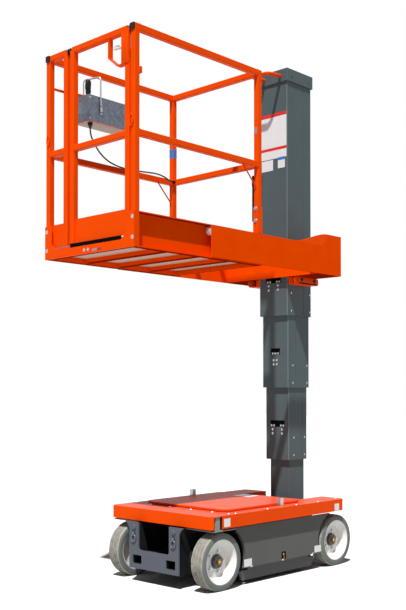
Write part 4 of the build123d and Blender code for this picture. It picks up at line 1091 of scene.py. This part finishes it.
def build_control_panel():
    """The box's bare panel with a stop button, a switch and the lid's screws."""
    x, y, _ = middle("control_box") + Vector((0.05, 0, 0))
    sheet = 0.001
    top = BOX_HIGH[2] + sheet
    plate_piece("control_panel", "plastic", "platform", (x, y, BOX_HIGH[2]), UP, 0.15, 0.095, 0.006, sheet)
    stop = bmesh.new()
    lathe(stop, (x + 0.035, y + 0.01, top), UP, [
        (0, 0), (0.011, 0), (0.011, 0.010), (0.018, 0.012), (0.019, 0.018), (0.014, 0.023), (0, 0.025)], 32)
    finish_piece("stop_button", stop, "red", "platform")
    switch = bmesh.new()
    spot = (x - 0.03, y + 0.01, top)
    lathe(switch, spot, UP, [(0, 0), (0.010, 0), (0.010, 0.004), (0.006, 0.006), (0, 0.006)], 20)
    sweep(switch, [spot, (spot[0] + 0.006, spot[1], spot[2] + 0.022)], 0.0025, 8)
    for screw_x in (BOX_LOW[0] + 0.012, BOX_HIGH[0] - 0.012):
        for screw_z in (BOX_HIGH[2] - 0.016, BOX_LOW[2] + 0.016):
            round_screw(switch, (screw_x, BOX_LOW[1], screw_z), (0, -1, 0), 0.005)
    finish_piece("panel_switch", switch, "zinc", "platform")


def build_box_base():
    """The flange and the base sheet below the control box, whose tan paints the sunlit floor's reflection."""
    x, y, _ = middle("control_box")
    length, width, _ = Vector(BOX_HIGH) - Vector(BOX_LOW)
    flange = 0.002
    plate_piece("box_flange", "orange", "platform", (x, y, BOX_LOW[2]), DOWN,
                length + 0.002, width + 0.002, 0.004, flange)
    plate_piece("box_base_sheet", "sheet", "platform", (x, y, BOX_LOW[2] - flange), DOWN,
                length - 0.004, width - 0.004, 0.004, 0.0008)


def build_guard_foot():
    """The guard rod's flattened foot, screwed to the box's side."""
    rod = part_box("joystick_guard")[0]
    foot_z = rod[2] + 0.030
    sheet = 0.0015
    plate_piece("guard_rod_foot", "zinc", "platform", (at(GUARD_ROD_X), rod[1], foot_z), (0, -1, 0),
                0.013, 0.058, 0.004, sheet)
    screws = bmesh.new()
    for shift in (-0.018, 0.018):
        round_screw(screws, (at(GUARD_ROD_X), rod[1] - sheet, foot_z + shift), (0, -1, 0), 0.0048)
    finish_piece("guard_rod_screws", screws, "casting", "platform")


def build_gland_nut():
    """The gland's eight-sided nut and the bend relief below it."""
    low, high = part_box("cable_gland")
    x, y, _ = middle("cable_gland")
    nut = bmesh.new()
    prism(nut, (x, y, high[2]), DOWN, polygon(8, 0.0155), 0.008, bevel=0.001)
    lathe(nut, (x, y, low[2] + 0.001), DOWN, [
        (0.0048, 0), (0.0115, 0), (0.0100, 0.006), (0.0072, 0.014), (0.0054, 0.018), (0.0048, 0.018)], 24)
    finish_piece("gland_nut", nut, "jacket", "platform")


# Sections of the joystick's grip: rise, half length, half width
GRIP_SECTIONS = [
    (0.018, 0.0140, 0.0120), (0.034, 0.0165, 0.0140), (0.054, 0.0160, 0.0135),
    (0.078, 0.0185, 0.0145), (0.094, 0.0170, 0.0130), (0.100, 0.0120, 0.0090),
]


def build_joystick():
    """A grip with a bellows boot, a palm rest and a red enable button in front."""
    x, y, _ = middle("joystick")
    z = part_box("joystick")[0][2]
    mesh = bmesh.new()
    boot = [(0, 0)]
    for index in range(4):
        radius = 0.0195 - 0.0022 * index
        rise = 0.0052 * index
        boot += [(radius, rise), (radius, rise + 0.002), (radius - 0.004, rise + 0.0036)]
    lathe(mesh, (x, y, z), UP, [*boot, (0, 0.0225)], 28)
    rings = []
    for rise, half_x, half_y in GRIP_SECTIONS:
        rings.append([mesh.verts.new((x + half_x * c, y + half_y * s, z + rise)) for c, s in polygon(20, 1)])
    skin(mesh, rings, capped=True)
    plate(mesh, (x - 0.013, y, z + 0.058), FRONT, 0.011, 0.03, 0.003, 0.006, bevel=0.001)
    finish_piece("joystick_grip", mesh, "plastic", "platform", "joystick")
    button = bmesh.new()
    lathe(button, (x - 0.0145, y, z + 0.030), FRONT, [
        (0, 0), (0.0042, 0), (0.0042, 0.003), (0, 0.0036)], 16)
    finish_piece("joystick_button", button, "red", "platform")


dress_nodes()
build_camera()
build_cable()
build_light()
build_floor()
for wheel in WHEELS:
    build_tyre(wheel)
    build_hub(wheel)
    build_wheel_bolts(wheel)
    build_castle_nut(wheel)
build_base_fasteners()
build_tie_down_links()
for end_name, end_side in SIDES:
    build_door_parts(end_name, end_side)
build_base_labels()
for stage in MAST_STAGES:
    build_stage_parts(stage)
for stage in MAST_STAGES:
    build_mast_edge_highlight(stage)
build_mast_plates()
build_carriage_edges()
build_bracket_bolts()
build_platform_bolts()
build_underside()
build_floor_tread()
build_rail_caps()
build_gate_latch()
build_latch_striker()
build_lanyard_rings()
build_post_details()
build_document_pouch()
build_weld_collars()
build_control_panel()
build_box_base()
build_guard_foot()
build_gland_nut()
build_joystick()

bpy.context.scene.view_settings.view_transform = "Standard"
